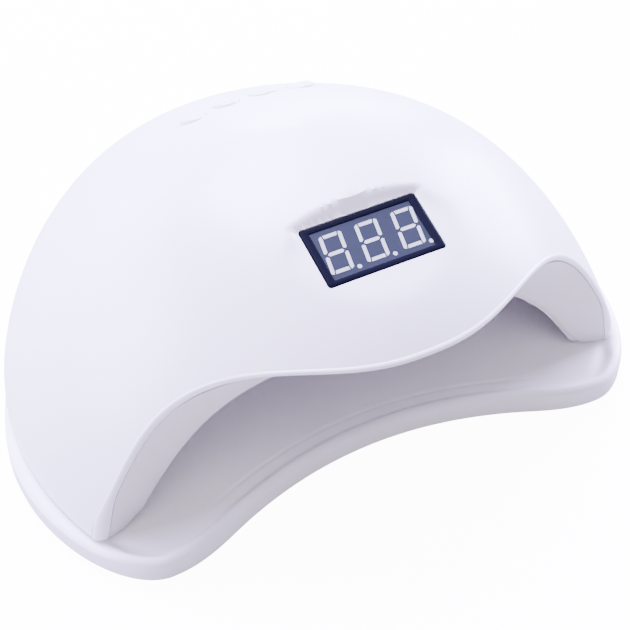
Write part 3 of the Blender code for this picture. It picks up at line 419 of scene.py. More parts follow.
# ---------------------------------------------------------------- simple shapes
def circle(radius, segments):
    return [(radius * math.cos(2 * math.pi * k / segments),
             radius * math.sin(2 * math.pi * k / segments)) for k in range(segments)]


def bridge(bm, first, second):
    """Joins two closed rows of vertices; one of them may be a single point."""
    count = max(len(first), len(second))
    for i in range(count):
        j = (i + 1) % count
        corners = []
        for vert in (first[i % len(first)], first[j % len(first)],
                     second[j % len(second)], second[i % len(second)]):
            if vert not in corners:
                corners.append(vert)
        if len(corners) > 2:
            bm.faces.new(corners)


def add_ring_stack(bm, rings):
    rows = [[bm.verts.new(p) for p in ring] for ring in rings]
    for first, second in zip(rows, rows[1:]):
        bridge(bm, first, second)
    for end in (rows[0], rows[-1]):
        if len(end) > 2:
            bm.faces.new(end)


def plane_at(origin, normal, x_hint=(1.0, 0.0, 0.0)):
    """Local plane: its origin, its x and y directions and its normal."""
    normal = Vector(normal).normalized()
    x_dir = Vector(x_hint)
    x_dir = (x_dir - normal * x_dir.dot(normal)).normalized()
    return Vector(origin), x_dir, normal.cross(x_dir), normal


def upright(spot, side):
    """Level plane at height 0 under a spot, on the right (side 1) or left (side -1)."""
    return plane_at((spot[0] * side, spot[1], 0.0), (0.0, 0.0, 1.0))


def at(plane, x, y, height):
    origin, x_dir, y_dir, normal = plane
    return origin + x_dir * x + y_dir * y + normal * height


def add_turned(bm, plane, profile, segments):
    """Solid turned round the plane's normal; the profile lists (radius, height)."""
    rings = []
    for radius, height in profile:
        points = circle(radius, segments) if radius > 0.0 else [(0, 0)]
        rings.append([at(plane, x, y, height) for x, y in points])
    add_ring_stack(bm, rings)


def rounded_loop(width, length, corner, segments=6):
    loop = []
    for k, (side_x, side_y) in enumerate(((1, 1), (-1, 1), (-1, -1), (1, -1))):
        for i in range(segments + 1):
            angle = math.pi / 2 * (k + i / segments)
            loop.append((side_x * (width / 2 - corner) + corner * math.cos(angle),
                         side_y * (length / 2 - corner) + corner * math.sin(angle)))
    return loop


def add_block(bm, plane, width, length, bottom, top, corner, segments=4):
    loop = rounded_loop(width, length, corner, segments)
    add_ring_stack(bm, [[at(plane, x, y, h) for x, y in loop] for h in (bottom, top)])


# ---------------------------------------------------------------- curved surfaces
def smooth01(u):
    u = min(max(u, 0.0), 1.0)
    return u * u * (3 - 2 * u)


def bisect(low, high, is_below, steps=40):
    """Place where is_below turns from true to false."""
    for _ in range(steps):
        middle = (low + high) / 2
        if is_below(middle):
            low = middle
        else:
            high = middle
    return (low + high) / 2


def surface_normal(height, x, y, step):
    """Unit normal of a height field, by central differences."""
    return Vector((-(height(x + step, y) - height(x - step, y)) / (2 * step),
                   -(height(x, y + step) - height(x, y - step)) / (2 * step),
                   1.0)).normalized()


def cos_sum(terms, angle):
    return sum(c * math.cos(k * angle) for k, c in enumerate(terms))


def dome_radius(angle):
    return cos_sum(DOME_PLAN, angle)


def dome_raw(x, y):
    """Height of the plain dome."""
    angle = math.atan2(x, DOME_Y - y)
    reach = min(math.hypot(x, y - DOME_Y) / dome_radius(angle), 1.0)
    fall = max(1.0 - reach ** cos_sum(DOME_FULL, angle), 0.0)
    return RIM_Z + DOME_RISE * fall ** (1.0 / cos_sum(DOME_DROP, angle))


FLAT_HALF, FLAT_REAR = 70.0, 22.0  # limits of the flattening round the display
FLAT_FRONT_Y, FLAT_BACK_Y = -10.2, 11.0  # full flattening lies between these
FLAT_SIDE_FADE = (22.0, 20.0)  # width of the side fade in front, and its loss to the rear
FLAT_FRONT_FADE = 20.0
FLAT_SOFT = 0.8  # rounding where dome and flat meet


def dome_z(x, y):
    """Height of the dome, pressed down to the display's plane round the display."""
    z = dome_raw(x, y)
    over = z - (DISPLAY_Z + (y - DISPLAY_Y) * math.tan(DISPLAY_TILT))
    if abs(x) < FLAT_HALF and y < FLAT_REAR:
        wide, loss = FLAT_SIDE_FADE
        fade = wide - loss * smooth01((y + 8.0) / 18.0)
        side = max(abs(x) - BEZEL_W / 2 - 0.4, 0.0) / fade
        front = max(FLAT_FRONT_Y - y, 0.0) / FLAT_FRONT_FADE
        weight = math.exp(-side * side - front * front)
        behind = y - FLAT_BACK_Y
        if behind > 0.0:
            reach = 0.8 + 2.0 * max(1.0 - (x / 19.5) ** 2, 0.0) ** 0.7
            weight *= 1.0 - min(behind / reach, 1.0)
        z -= (over + math.hypot(over, FLAT_SOFT)) / 2.0 * weight
    return z


def lip_size(share):
    """Roll, depth and set-back of the lip; share runs from its middle (0) to a foot (1)."""
    leg = smooth01((share - 0.40) / 0.40)
    foot = smooth01((share - 0.92) / 0.08)
    middle_depth, leg_depth, foot_depth = LIP_DEPTH
    return (LIP_ROLL + LEG_ROLL * foot,
            middle_depth + leg_depth * leg + foot_depth * foot,
            LEG_ROLL * foot)


def lip_y(x):
    u = min(abs(x) / LIP_HALF, 1.0)
    return LIP_Y - LIP_REACH * (1.0 + math.cos(math.pi * u ** LIP_POWER)) / 2.0


def liner_edge_y(x):
    u = min(abs(x) / LINER_EDGE_HALF, 1.0)
    return LINER_EDGE_Y - LINER_EDGE_REACH * (1.0 + math.cos(math.pi * u)) / 2.0


def cav_z(x, y):
    """Height of the hand space's roof."""
    reach = abs(x) / CAV_HALF
    if y >= CAV_Y:
        reach = math.hypot(x / CAV_HALF, (y - CAV_Y) / CAV_BACK)
    fall = max(1.0 - min(reach, 1.0) ** CAV_PLAN_POWER, 0.0)
    return CAV_FOOT_Z + CAV_RISE * fall ** (1.0 / CAV_RISE_POWER)


def cav_normal(x, y):
    return surface_normal(cav_z, x, y, step=0.3)


def inside_dome(x):
    y = lip_y(x) + LEG_ROLL
    return math.hypot(x, y - DOME_Y) < dome_radius(math.atan2(x, DOME_Y - y))


# Front corner, where the lip meets the dome's rim
CORNER_X = bisect(80.0, 112.0, inside_dome, steps=50)
CORNER_ANGLE = math.atan2(CORNER_X, DOME_Y - lip_y(CORNER_X) - LEG_ROLL)

# Scale of the cavity plan at which its wall is down to the top of the liner's foot
CAV_END = (1.0 - (LINER_FOOT_R / CAV_RISE) ** CAV_RISE_POWER) ** (1.0 / CAV_PLAN_POWER)


# A column (kind, share, side) is one place round a border: share of the way along the front
# lip or the rim behind it, on the right (side 1) or the left (side -1).
def make_columns(front, rear):
    half = [("lip", i / front) for i in range(front + 1)]
    half += [("rim", i / rear) for i in range(1, rear + 1)]
    right = [(kind, share, 1.0) for kind, share in half]
    left = [(kind, share, -1.0) for kind, share in half[1:-1]]
    return right + left[::-1]


def shell_border(kind, share, side):
    if kind == "lip":
        x = CORNER_X * share
        return x * side, lip_y(x) + lip_size(share)[2]
    angle = CORNER_ANGLE + (math.pi - CORNER_ANGLE) * share
    radius = dome_radius(angle)
    return side * radius * math.sin(angle), DOME_Y - radius * math.cos(angle)


def cavity_border(kind, share, side):
    if kind == "lip":
        x, y = CAV_HALF * share, liner_edge_y(CAV_HALF * share)
    elif share <= CAV_STRAIGHT:
        x, y = CAV_HALF, LINER_EDGE_Y + (CAV_Y - LINER_EDGE_Y) * share / CAV_STRAIGHT
    else:
        angle = math.pi / 2 * (share - CAV_STRAIGHT) / 0.77
        x = CAV_HALF * math.cos(angle)
        y = CAV_Y + CAV_BACK * math.sin(angle)
        y = CAV_Y + (y - CAV_Y) * CAV_END
    return x * CAV_END * side, y


def lip_point(kind, share, side, forward, inward):
    """Point of the shell's border moved forward (lip only) and in through the wall."""
    x, y = shell_border(kind, share, side)
    if kind == "lip":
        z = dome_z(x, y) if share < 1.0 else FOOT_Z
        # Sampled just inside the border, where the dome is not yet at its rim
        out = surface_normal(dome_raw, x * 0.995, y + 0.3, step=0.4)
        out.y = 0.0
        out.normalize()
        return Vector((x - out.x * inward, y - forward, max(z - out.z * inward, FOOT_Z)))
    out = Vector((x, y - DOME_Y, 0.0)).normalized()
    return Vector((x - out.x * inward, y - out.y * inward, FOOT_Z))


def spread_rows(border, centre_y, count, crowding, height):
    """Rows from the centre out to the border, closer together towards the border."""
    rows = []
    for k in range(1, count + 1):
        share = 1.0 - (1.0 - k / count) ** crowding
        flat = [(x * share, centre_y + (y - centre_y) * share) for x, y in border]
        rows.append([Vector((x, y, height(x, y))) for x, y in flat])
    return rows


def even_offset(rows, distance):
    """Vertex places moved along their normals so that the wall keeps an even thickness."""
    moved = []
    for row in rows:
        line = []
        for vert in row:
            normal = Vector()
            for face in vert.link_faces:
                normal += face.normal * face.calc_area() ** 0.5
            normal.normalize()
            slant = min(normal.dot(face.normal) for face in vert.link_faces)
            line.append(vert.co + normal * (distance / max(slant, 0.62)))
        moved.append(line)
    return moved


def add_wall(bm, pole, rows, offset, trim=None, edge_rows=()):
    """Closed wall: a skin fanned out from its pole, its offset copy, and rows joining them."""
    top = bm.verts.new(pole)
    grid = [[bm.verts.new(p) for p in row] for row in rows]
    count = len(grid[0])
    for i in range(count):
        bm.faces.new((top, grid[0][i], grid[0][(i + 1) % count]))
    for a, b in zip(grid, grid[1:]):
        for i in range(count):
            j = (i + 1) % count
            bm.faces.new((a[i], b[i], b[j], a[j]))
    bm.normal_update()
    back = even_offset([[top]] + grid, offset)
    if trim:
        back = trim(back)
    back_top = bm.verts.new(back[0][0])
    inner = [[bm.verts.new(p) for p in row] for row in back[1:]]
    edge = [[bm.verts.new(p) for p in row] for row in edge_rows]
    for i in range(count):
        bm.faces.new((back_top, inner[0][(i + 1) % count], inner[0][i]))
    chain = inner + edge[::-1] + [grid[-1]]
    for a, b in zip(chain, chain[1:]):
        for i in range(count):
            j = (i + 1) % count
            bm.faces.new((a[j], b[j], b[i], a[i]))


# ---------------------------------------------------------------- planes of the small parts
DISPLAY = plane_at((0.0, DISPLAY_Y, DISPLAY_Z),
                   (0.0, -math.sin(DISPLAY_TILT), math.cos(DISPLAY_TILT)))
PANEL = plane_at((0.0, BUTTON_Y, dome_z(0.0, BUTTON_Y)),
                 (0.0, math.sin(BUTTON_TILT), math.cos(BUTTON_TILT)))


def button_plane(x, y):
    """Plane of a button, raised along the panel's normal to meet the dome."""
    def under_dome(height):
        point = at(PANEL, x, y, height)
        return point.z < dome_z(point.x, point.y)
    return plane_at(at(PANEL, x, y, bisect(-12.0, 6.0, under_dome)), PANEL[3])


def cavity_plane(x, y):
    """Plane on the hand space's wall; its normal points into the wall."""
    return plane_at((x, y, cav_z(x, y)), cav_normal(x, y), (0.0, 1.0, 0.0))


def side_plane(height, y, side):
    x = bisect(20.0, CAV_HALF, lambda x: cav_z(x, y) > height)
    point = Vector((side * x, y, height))
    return cavity_plane(point.x, point.y)


def rear_plane(x, height):
    y = bisect(60.0, CAV_Y + CAV_BACK, lambda y: cav_z(x, y) > height)
    return plane_at((x, y, height), cav_normal(x, y))


BUTTON_PLANES = [(tag, button_plane(x, y)) for tag, x, y in BUTTONS]
LEDS = [(f"led_{tag}_{i + 1}", side_plane(height, y, side))
        for side, tag in ((-1.0, "left"), (1.0, "right"))
        for i, (height, y) in enumerate(LED_SIDE)]
LEDS += [(f"led_top_{i + 1}", cavity_plane(x, y)) for i, (x, y) in enumerate(LED_TOP)]
SENSORS = [rear_plane(x, SENSOR_Z) for x in (-SENSOR_X, SENSOR_X)]


# ---------------------------------------------------------------- shell
def shell_edge_rows(columns):
    """Rolled lip in rows; along the rim they step straight through the wall."""
    # Each stage: share of the roll, share of the depth, extra forward, extra inward
    stages = []
    steps = 9
    for k in range(1, steps + 1):
        angle = math.pi / 2 * k / steps
        stages.append((math.sin(angle), 1.0 - math.cos(angle), 0.0, 0.0))
    stages += [(0.93, 1.0, 0.0, 0.12), (0.6, 1.0, 0.0, 0.16), (0.0, 1.0, -1.0, 0.0)]
    rows = []
    for k, (roll_share, depth_share, more_forward, more_inward) in enumerate(stages):
        row = []
        for kind, share, side in columns:
            if kind == "lip":
                roll, depth, _ = lip_size(share)
                forward = roll_share * roll + more_forward
                inward = depth_share * depth + more_inward
            else:
                forward = 0.0
                inward = SHELL_T * (k + 1) / (len(stages) + 1)
            row.append(lip_point(kind, share, side, forward, inward))
        rows.append(row)
    return rows


def shell_skin():
    columns = make_columns(int(64 * FINE), int(58 * FINE))
    border = [shell_border(*column) for column in columns]
    rows = spread_rows(border, DOME_Y, int(100 * FINE), crowding=1.35, height=dome_z)
    for point, (kind, share, _) in zip(rows[-1], columns):
        if kind == "rim" or share >= 1.0:
            point.z = FOOT_Z

    def trim(back):
        """Keeps the inner face above the foot and behind the lip."""
        edge = [lip_point(*column, forward=-2.2, inward=SHELL_T) for column in columns]
        body = []
        for row in back[:-1]:
            line = []
            for p, (kind, share, _), limit in zip(row, columns, edge):
                y = max(p.y, limit.y + 0.5) if kind == "lip" and share < 1.0 else p.y
                line.append(Vector((p.x, y, max(p.z, FOOT_Z))))
            body.append(line)
        return body + [edge]

    bm = bmesh.new()
    add_wall(bm, Vector((0.0, DOME_Y, dome_z(0.0, DOME_Y))), rows, -SHELL_T, trim,
             shell_edge_rows(columns))
    return finish("shell_skin", bm, "shell_white", "top_shell")


def build_shell():
    shell = shell_skin()
    bm = bmesh.new()
    add_block(bm, DISPLAY, BEZEL_W + 0.5, BEZEL_H + 0.5, -7.0, 7.0, corner=1.2, segments=5)
    for _, plane in BUTTON_PLANES:
        hole_r = BUTTON_R + GAP
        add_turned(bm, plane, [(hole_r, -6.0), (hole_r, 4.0)], segments=48)
    rear = plane_at((0.0, 150.0, JACK_Z), (0.0, 1.0, 0.0))
    add_turned(bm, rear, [(5.0, 0.0), (5.0, 20.0)], segments=40)
    cut(shell, [(solid("cutter", bm), "DIFFERENCE")], angle=30.0)


# ---------------------------------------------------------------- liner
BAND_SHARES = (0.03, 0.08, 0.16, 0.28, 0.42, 0.56, 0.70, 0.82, 0.92, 0.98)


def foot_direction(kind, point):
    """Level direction from the hand space into the wall."""
    if kind == "lip" or point.y < CAV_Y:
        return Vector((math.copysign(1.0, point.x), 0.0, 0.0))
    return Vector((point.x / CAV_HALF ** 2, (point.y - CAV_Y) / CAV_BACK ** 2,
                   0.0)).normalized()


def liner_outer_point(kind, share, side):
    """Outer end of the liner: tucked behind the shell's lip, or level at the rim's foot."""
    if kind == "lip":
        roll, depth, _ = lip_size(share)
        tuck = 1.0 - smooth01((share - 0.30) / 0.34)
        under = 3.2 * max(1.0 - (share / 0.72) ** 2, 0.0)
        point = lip_point(kind, share, side, forward=roll * 0.92 - LINER_TUCK * tuck,
                          inward=depth + 0.32 + under)
        point.z = max(point.z, CAV_FOOT_Z)
    else:
        point = lip_point(kind, share, side, forward=0.0, inward=SHELL_T + GAP + 0.6)
        point.z = CAV_FOOT_Z
    return point


def curl_row(columns, border, outer, turn):
    """Row part of the way (turn) round the liner's edge, curling outward where it is low."""
    across = LINER_FOOT_R * (0.9 * turn + 0.3 * turn * turn)
    down = LINER_FOOT_R * (1.8 * turn - 0.8 * turn * turn)
    row = []
    for (kind, _, _), p, end in zip(columns, border, outer):
        low = smooth01((CAV_FOOT_Z + LINER_FOOT_R + 3.0 - p.z) / 3.0)
        out = foot_direction(kind, p)
        arc = Vector((p.x + out.x * across, p.y + out.y * across, p.z - down))
        row.append((p + (end - p).normalized() * 0.5 * turn).lerp(arc, low))
    return row


def band_row(columns, edge, outer, part):
    """Row of the band from the curled edge to the outer end, bulged forward at the front."""
    row = []
    for (kind, share, _), start, end in zip(columns, edge, outer):
        p = start.lerp(end, part)
        if kind == "lip":
            bulge = BAND_BULGE * math.sin(math.pi * part ** 0.55) ** 0.8
            p.y -= bulge * min(1.0, abs(start.x) / 45.0)
            if share >= 1.0:
                p.z = CAV_FOOT_Z
        row.append(p)
    return row


def liner_skin():
    columns = make_columns(int(48 * FINE), int(50 * FINE))
    rows = spread_rows([cavity_border(*column) for column in columns], CAV_Y, int(56 * FINE),
                       crowding=1.25,
                       height=lambda x, y: max(cav_z(x, y), CAV_FOOT_Z + LINER_FOOT_R))
    outer = [liner_outer_point(*column) for column in columns]
    border = rows[-1]
    rows += [curl_row(columns, border, outer, turn) for turn in (0.25, 0.5, 0.75, 1.0)]
    edge = rows[-1]
    rows += [band_row(columns, edge, outer, part) for part in BAND_SHARES]
    rows.append(outer)
    bm = bmesh.new()
    add_wall(bm, Vector((0.0, CAV_Y, cav_z(0.0, CAV_Y))), rows, LINER_T)
    return finish("liner_skin", bm, "liner_white", "inner_liner")


def build_liner():
    liner = liner_skin()
    holes = bmesh.new()
    for _, plane in LEDS:
        add_turned(holes, plane, [(LED_R + GAP, -4.0), (LED_R + GAP, 5.0)], segments=28)
    for plane in SENSORS:
        add_turned(holes, plane, [(SENSOR_R + GAP, -4.0), (SENSOR_R + GAP, 5.0)], segments=24)
    seats = bmesh.new()
    for side in (1, -1):
        for spot in SCREWS:
            plane = upright(spot, side)
            add_turned(holes, plane,
                       [(3.3, CAV_FOOT_Z - 2.0), (3.3, CAV_FOOT_Z + 1.7),
                        (1.6, CAV_FOOT_Z + 1.7), (1.6, CAV_FOOT_Z + 6.0)], segments=28)
            add_turned(seats, plane,
                       [(4.3, CAV_FOOT_Z + 0.3), (4.3, CAV_FOOT_Z + SCREW_PAD)], segments=28)
    cut(liner, [(solid("seats", seats), "UNION"), (solid("cutter", holes), "DIFFERENCE")],
        angle=35.0)


# ---------------------------------------------------------------- LEDs
# Profiles are (radius, height); negative heights stand into the hand space.
LENS_PROFILE = [(0, 0.2), (LENS_R, 0.2), (LENS_R, -0.5)]
LENS_PROFILE += [(LENS_R * math.cos(math.pi / 2 * k / 8), -0.5 - 2.0 * math.sin(math.pi / 2 * k / 8))
                 for k in range(1, 8)]
LENS_PROFILE += [(0, -2.5)]
LED_BASE_PROFILE = [(0, 2.5), (LED_R, 2.5), (LED_R, 0.1), (LED_R - 0.15, -0.35),
                    (LED_R * 0.83, -0.35), (LED_R * 0.83, 0.9), (0, 0.9)]


def build_led(name, plane):
    bm = bmesh.new()
    add_turned(bm, plane, LENS_PROFILE, segments=24)
    finish(f"{name}_dome", bm, "led_lens", name)
    bm = bmesh.new()
    add_turned(bm, plane, LED_BASE_PROFILE, segments=24)
    finish(f"{name}_base", bm, "led_board_white")
    bm = bmesh.new()
    add_block(bm, plane, 1.5, 1.5, 0.35, 0.85, corner=0.05)
    finish(f"{name}_die", bm, "chip_yellow", slot="led_lens")


# ---------------------------------------------------------------- tray outline
def wing_front(x):
    u = min(max((x - WING_X) / (TRAY_HALF - WING_X), 0.0), 1.0)
    return TRAY_MID_Y - (TRAY_MID_Y - WING_Y) * (1.0 - u ** WING_POWER) ** (1.0 / WING_POWER)


def tray_front(x):
    """Front edge: the bowed middle blended into the wing."""
    middle = TRAY_FRONT_Y - TRAY_CONCAVE * x * x
    wing = wing_front(abs(x))
    overlap = max(1.0 - abs(middle - wing) / WING_BLEND, 0.0)
    return max(middle, wing) + WING_BLEND / 4.0 * overlap ** 2


# Widest point of the tray: its angle round the dome, and how far it stands out of the dome
SIDE_ANGLE = math.atan2(TRAY_HALF, DOME_Y - TRAY_MID_Y)
SIDE_OUT = math.hypot(TRAY_HALF, TRAY_MID_Y - DOME_Y) - dome_radius(SIDE_ANGLE)


def tray_rear(angle):
    fade = math.exp(-((angle - SIDE_ANGLE) / TRAY_BLEND) ** 2)
    return dome_radius(angle) + TRAY_REAR + (SIDE_OUT - TRAY_REAR) * fade


def tray_outline():
    points = []
    middle_steps, wing_steps, back_steps = int(60 * FINE), int(44 * FINE), int(80 * FINE)
    for i in range(middle_steps):
        x = WING_X * i / middle_steps
        points.append((x, tray_front(x)))
    for i in range(wing_steps):
        angle = math.pi / 2 * i / wing_steps
        x = WING_X + (TRAY_HALF - WING_X) * math.sin(angle) ** (2.0 / WING_POWER)
        points.append((x, tray_front(x)))
    for i in range(back_steps + 1):
        angle = SIDE_ANGLE + (math.pi - SIDE_ANGLE) * i / back_steps
        radius = tray_rear(angle)
        points.append((radius * math.sin(angle), DOME_Y - radius * math.cos(angle)))
    return points + [(-x, y) for x, y in points[1:-1]][::-1]


OUTLINE = tray_outline()


def inset(distance):
    """Outline moved in by a distance; past 4.5 mm it is smoothed more the further in it is."""
    count = len(OUTLINE)
    ring = []
    for i, (x, y) in enumerate(OUTLINE):
        before_x, before_y = OUTLINE[i - 1]
        after_x, after_y = OUTLINE[(i + 1) % count]
        along_x, along_y = after_x - before_x, after_y - before_y
        length = math.hypot(along_x, along_y)
        ring.append((x - along_y / length * distance, y + along_x / length * distance))
    for _ in range(int(max(distance - 4.5, 0.0) * 7.0 * FINE ** 2)):
        ring = [((ring[i - 1][0] + ring[(i + 1) % count][0]) / 4 + x / 2,
                 (ring[i - 1][1] + ring[(i + 1) % count][1]) / 4 + y / 2)
                for i, (x, y) in enumerate(ring)]
    return ring


def shrink(ring, scale):
    centre_x, centre_y = TRAY_CENTRE
    return [(centre_x + (x - centre_x) * scale, centre_y + (y - centre_y) * scale)
            for x, y in ring]


# ---------------------------------------------------------------- tray
FLOOR_SCALES = (0.15, 0.3, 0.45, 0.6, 0.72, 0.82, 0.90, 0.96)
TOP_INSETS = (
    TRAY_FLOOR_INSET, 12.2, 11.6, 11.0, 10.6, 10.2, 9.9, 9.6, 9.3, 9.0, 8.6, 8.1, 7.5, 6.8, 6.1,
    5.4, 4.7, 4.0, 3.4, 2.9, 2.4, 1.9, 1.5, 1.1, 0.75, 0.45, 0.2, 0.05, 0.0)
# (inset, height) down the outside and in along the underside
SKIRT = ((0.0, 1.2), (0.08, 0.6), (0.3, 0.2), (0.7, 0.0), (3.2, 0.0), (3.5, 0.2),
         (3.9, TRAY_UNDER_Z - 0.5), (4.6, TRAY_UNDER_Z))


def rim_height(x, y):
    """1 on the wings and the front, where the rim stands up, fading to 0 further back."""
    if abs(x) < 70.0 and y < 20.0:
        return 1.0
    return smooth01((-6.0 - y) / 10.0)


def tray_top(distance, x, y, tall):
    """Height of the tray's top at a distance in from its edge."""
    edge = TRAY_LOW_Z + (TRAY_EDGE_Z - TRAY_LOW_Z) * tall
    rounding = 3.6 - 0.9 * tall
    if distance < rounding:
        u = 1.0 - distance / rounding
        z = TRAY_SKIRT_Z + (edge - TRAY_SKIRT_Z) * (1.0 - u ** 2.4) ** (1 / 2.4)
    else:
        slope = 2.6 + 2.0 * (1.0 - tall)
        fall = smooth01((distance - rounding) / slope)
        z = TRAY_FLOOR_Z + (edge - TRAY_FLOOR_Z) * (1.0 - fall)
    # Shallow hollow along each wing
    wing = math.exp(-((abs(x) - 84.0) / 17.0) ** 2) * smooth01((6.0 - y) / 14.0)
    hollow = math.exp(-((distance - 6.2) / 2.2) ** 2)
    z -= 0.95 * wing * hollow * smooth01((distance - 1.7) / 2.0)
    # Fine groove along the middle of the front
    middle = smooth01((66.0 - abs(x)) / 14.0) * smooth01((16.0 - y) / 6.0)
    z -= 0.35 * middle * math.exp(-((distance - 9.6) / 0.55) ** 2)
    return z


def level_ring(ring, z):
    return [Vector((x, y, z)) for x, y in ring]


def tray_body():
    tall = [rim_height(x, y) for x, y in OUTLINE]
    floor = inset(TRAY_FLOOR_INSET)
    rings = [level_ring([TRAY_CENTRE], TRAY_FLOOR_Z)]
    rings += [level_ring(shrink(floor, scale), TRAY_FLOOR_Z) for scale in FLOOR_SCALES]
    for distance in TOP_INSETS:
        rings.append([Vector((x, y, tray_top(distance, x, y, rise)))
                      for (x, y), rise in zip(inset(distance), tall)])
    rings += [level_ring(inset(distance), z) for distance, z in SKIRT]
    rings.append(level_ring(shrink(inset(10.4), 0.60), TRAY_UNDER_Z))
    rings.append(level_ring([TRAY_CENTRE], TRAY_UNDER_Z))
    bm = bmesh.new()
    add_ring_stack(bm, rings)
    return finish("tray_body", bm, "tray_white", "base_tray", body="tray", angle=40.0)


def build_tray():
    tray = tray_body()
    bosses = bmesh.new()
    pockets = bmesh.new()
    for side in (1, -1):
        for spot in PADS:
            plane = upright(spot, side)
            add_turned(bosses, plane, [(7.2, 0.0), (7.2, TRAY_FLOOR_Z - 1.0)], segments=48)
            add_turned(pockets, plane, [(5.3, -2.0), (5.3, 1.6)], segments=40)
        plane = upright(DISC_AT, side)
        add_turned(bosses, plane,
                   [(7.6, TRAY_UNDER_Z - 1.4), (7.6, CAV_FOOT_Z - 0.6),
                    (7.4, CAV_FOOT_Z - 0.4)], segments=48)
        add_turned(pockets, plane, [(DISC_R + GAP, 5.2), (DISC_R + GAP, 12.0)], segments=40)
    cut(tray, [(solid("adder", bosses), "UNION"), (solid("cutter", pockets), "DIFFERENCE")],
        angle=35.0)


# ---------------------------------------------------------------- display
def build_bezel():
    def hole(grow, height):
        loop = rounded_loop(WINDOW_W + 2 * grow, WINDOW_H + 2 * grow, corner=0.35)
        return [at(DISPLAY, x, y, height) for x, y in loop]

    def outside(shrunk, height):
        loop = rounded_loop(BEZEL_W - 2 * shrunk, BEZEL_H - 2 * shrunk, corner=0.9)
        return [at(DISPLAY, x, y, height) for x, y in loop]

    rings = [hole(0, -BEZEL_T), hole(0, -0.22), hole(0.10, -0.06), hole(0.28, 0.0),
             outside(0.3, 0.0), outside(0.1, -0.06), outside(0.0, -0.22),
             outside(0.0, -BEZEL_T)]
    bm = bmesh.new()
    rows = [[bm.verts.new(p) for p in ring] for ring in rings]
    for first, second in zip(rows, rows[1:] + rows[:1]):
        bridge(bm, first, second)
    finish("display_frame", bm, "bezel_navy", "display_bezel", angle=50.0)


def build_pane_and_module():
    bm = bmesh.new()
    add_block(bm, DISPLAY, WINDOW_W - 0.14, WINDOW_H - 0.14, PANE_TOP - PANE_T, PANE_TOP,
              corner=0.3)
    finish("display_pane", bm, "clear_window", "display_window")
    bm = bmesh.new()
    add_block(bm, DISPLAY, WINDOW_W - 0.08, WINDOW_H - 0.08, MODULE_TOP - MODULE_T,
              MODULE_TOP, corner=0.2)
    finish("display_block", bm, "display_grey", "display_module")


def add_segment(bm, points):
    """Thin flat plate on the display module."""
    bottom = MODULE_TOP + SEGMENT_LIFT
    low = [bm.verts.new(at(DISPLAY, x, y, bottom)) for x, y in points]
    top = [bm.verts.new(at(DISPLAY, x, y, bottom + SEGMENT_T)) for x, y in points]
    bm.faces.new(top)
    bm.faces.new(low[::-1])
    bridge(bm, low, top)


def add_digit(bm, centre_x):
    """Seven slanted segments: full-height uprights with the bars set between them."""
    def put(points):
        add_segment(bm, [(centre_x + x + y * DIGIT_SLANT, DIGIT_Y + y) for x, y in points])

    half_w, half_h = DIGIT_W / 2, DIGIT_H / 2
    half_stroke = STROKE * 0.5
    tip = half_w - half_stroke - STROKE_GAP
    inner = half_w - STROKE - STROKE_GAP
    outer = half_w - 0.9 - STROKE_GAP
    for side in (1, -1):
        far, near = side * half_h, side * (half_h - STROKE)
        put([(-outer, far), (outer, far), (inner, near), (-inner, near)])
    put([(-tip, 0), (-inner, half_stroke), (inner, half_stroke),
         (tip, 0), (inner, -half_stroke), (-inner, -half_stroke)])
    for side_x in (1, -1):
        for side_y in (1, -1):
            put([(side_x * x, side_y * y) for x, y in (
                (half_w, half_h - 0.55),
                (half_w - 0.9, half_h),
                (half_w - STROKE, half_h - STROKE * 0.75),
                (half_w - STROKE, half_stroke + STROKE_GAP * 0.8),
                (half_w - half_stroke, STROKE_GAP),
                (half_w, half_stroke + STROKE_GAP * 0.4))])


def build_digits():
    bm = bmesh.new()
    for x in DIGIT_X:
        add_digit(bm, x)
        dot_x = x + DOT_OFFSET_X
        add_segment(bm, [(dot_x + dx, DOT_Y + dy) for dx, dy in circle(DOT_R, 20)])
    finish("display_segments", bm, "segment_white", slot="display_grey", smooth=False)


# ---------------------------------------------------------------- buttons and inlet
def build_button(tag, plane):
    """Cap with a dished top, a flange under the shell and a stem."""
    dish = ((0.3, 0.12), (0.6, 0.22), (0.78, 0.32), (0.86, 0.33), (0.93, 0.22), (0.98, -0.02))
    profile = [(0, BUTTON_PROUD + 0.10)]
    profile += [(BUTTON_R * share, BUTTON_PROUD + rise) for share, rise in dish]
    profile += [(BUTTON_R, BUTTON_PROUD - 0.4), (BUTTON_R, -3.9), (BUTTON_R + 1.0, -3.9),
                (BUTTON_R + 1.0, -4.9), (1.5, -4.9), (1.5, -7.6), (0, -7.6)]
    bm = bmesh.new()
    add_turned(bm, plane, profile, segments=48)
    finish(f"button_{tag}_cap", bm, "button_white", f"button_{tag}", body=f"key_{tag}",
           angle=40.0)


def build_inlet():
    """Round barrel facing the rear, bored from its outer end."""
    profile = ((0, -6.5), (3.0, -6.5), (3.2, -6.3), (3.2, 3.4), (3.5, 3.7), (4.1, 3.8),
               (4.4, 3.5), (4.4, -0.4), (4.6, -0.6), (4.6, -9.0), (0, -9.0))
    bm = bmesh.new()
    add_turned(bm, plane_at((0.0, 153.0, JACK_Z), (0.0, 1.0, 0.0)), profile, segments=40)
    finish("inlet_barrel", bm, "black_plastic", "dc_jack", angle=35.0)


def dress_cad_pieces():
    """The CAD pieces still shown keep their shape, with a material and softened edges."""
    slots = {part["node"]: part["material_slot"] for part in frame["record"]["subparts"]}
    for name, ob in frame["nodes"].items():
        if ob.hide_render:
            continue
        ob.data.materials.clear()
        ob.data.materials.append(MATERIALS[slots[name]])
        bevel = ob.modifiers.new("soft_edges", "BEVEL")
        bevel.width = 0.15 * MM
        bevel.segments = 2
        bevel.limit_method = "ANGLE"
        bevel.angle_limit = math.radians(50.0)


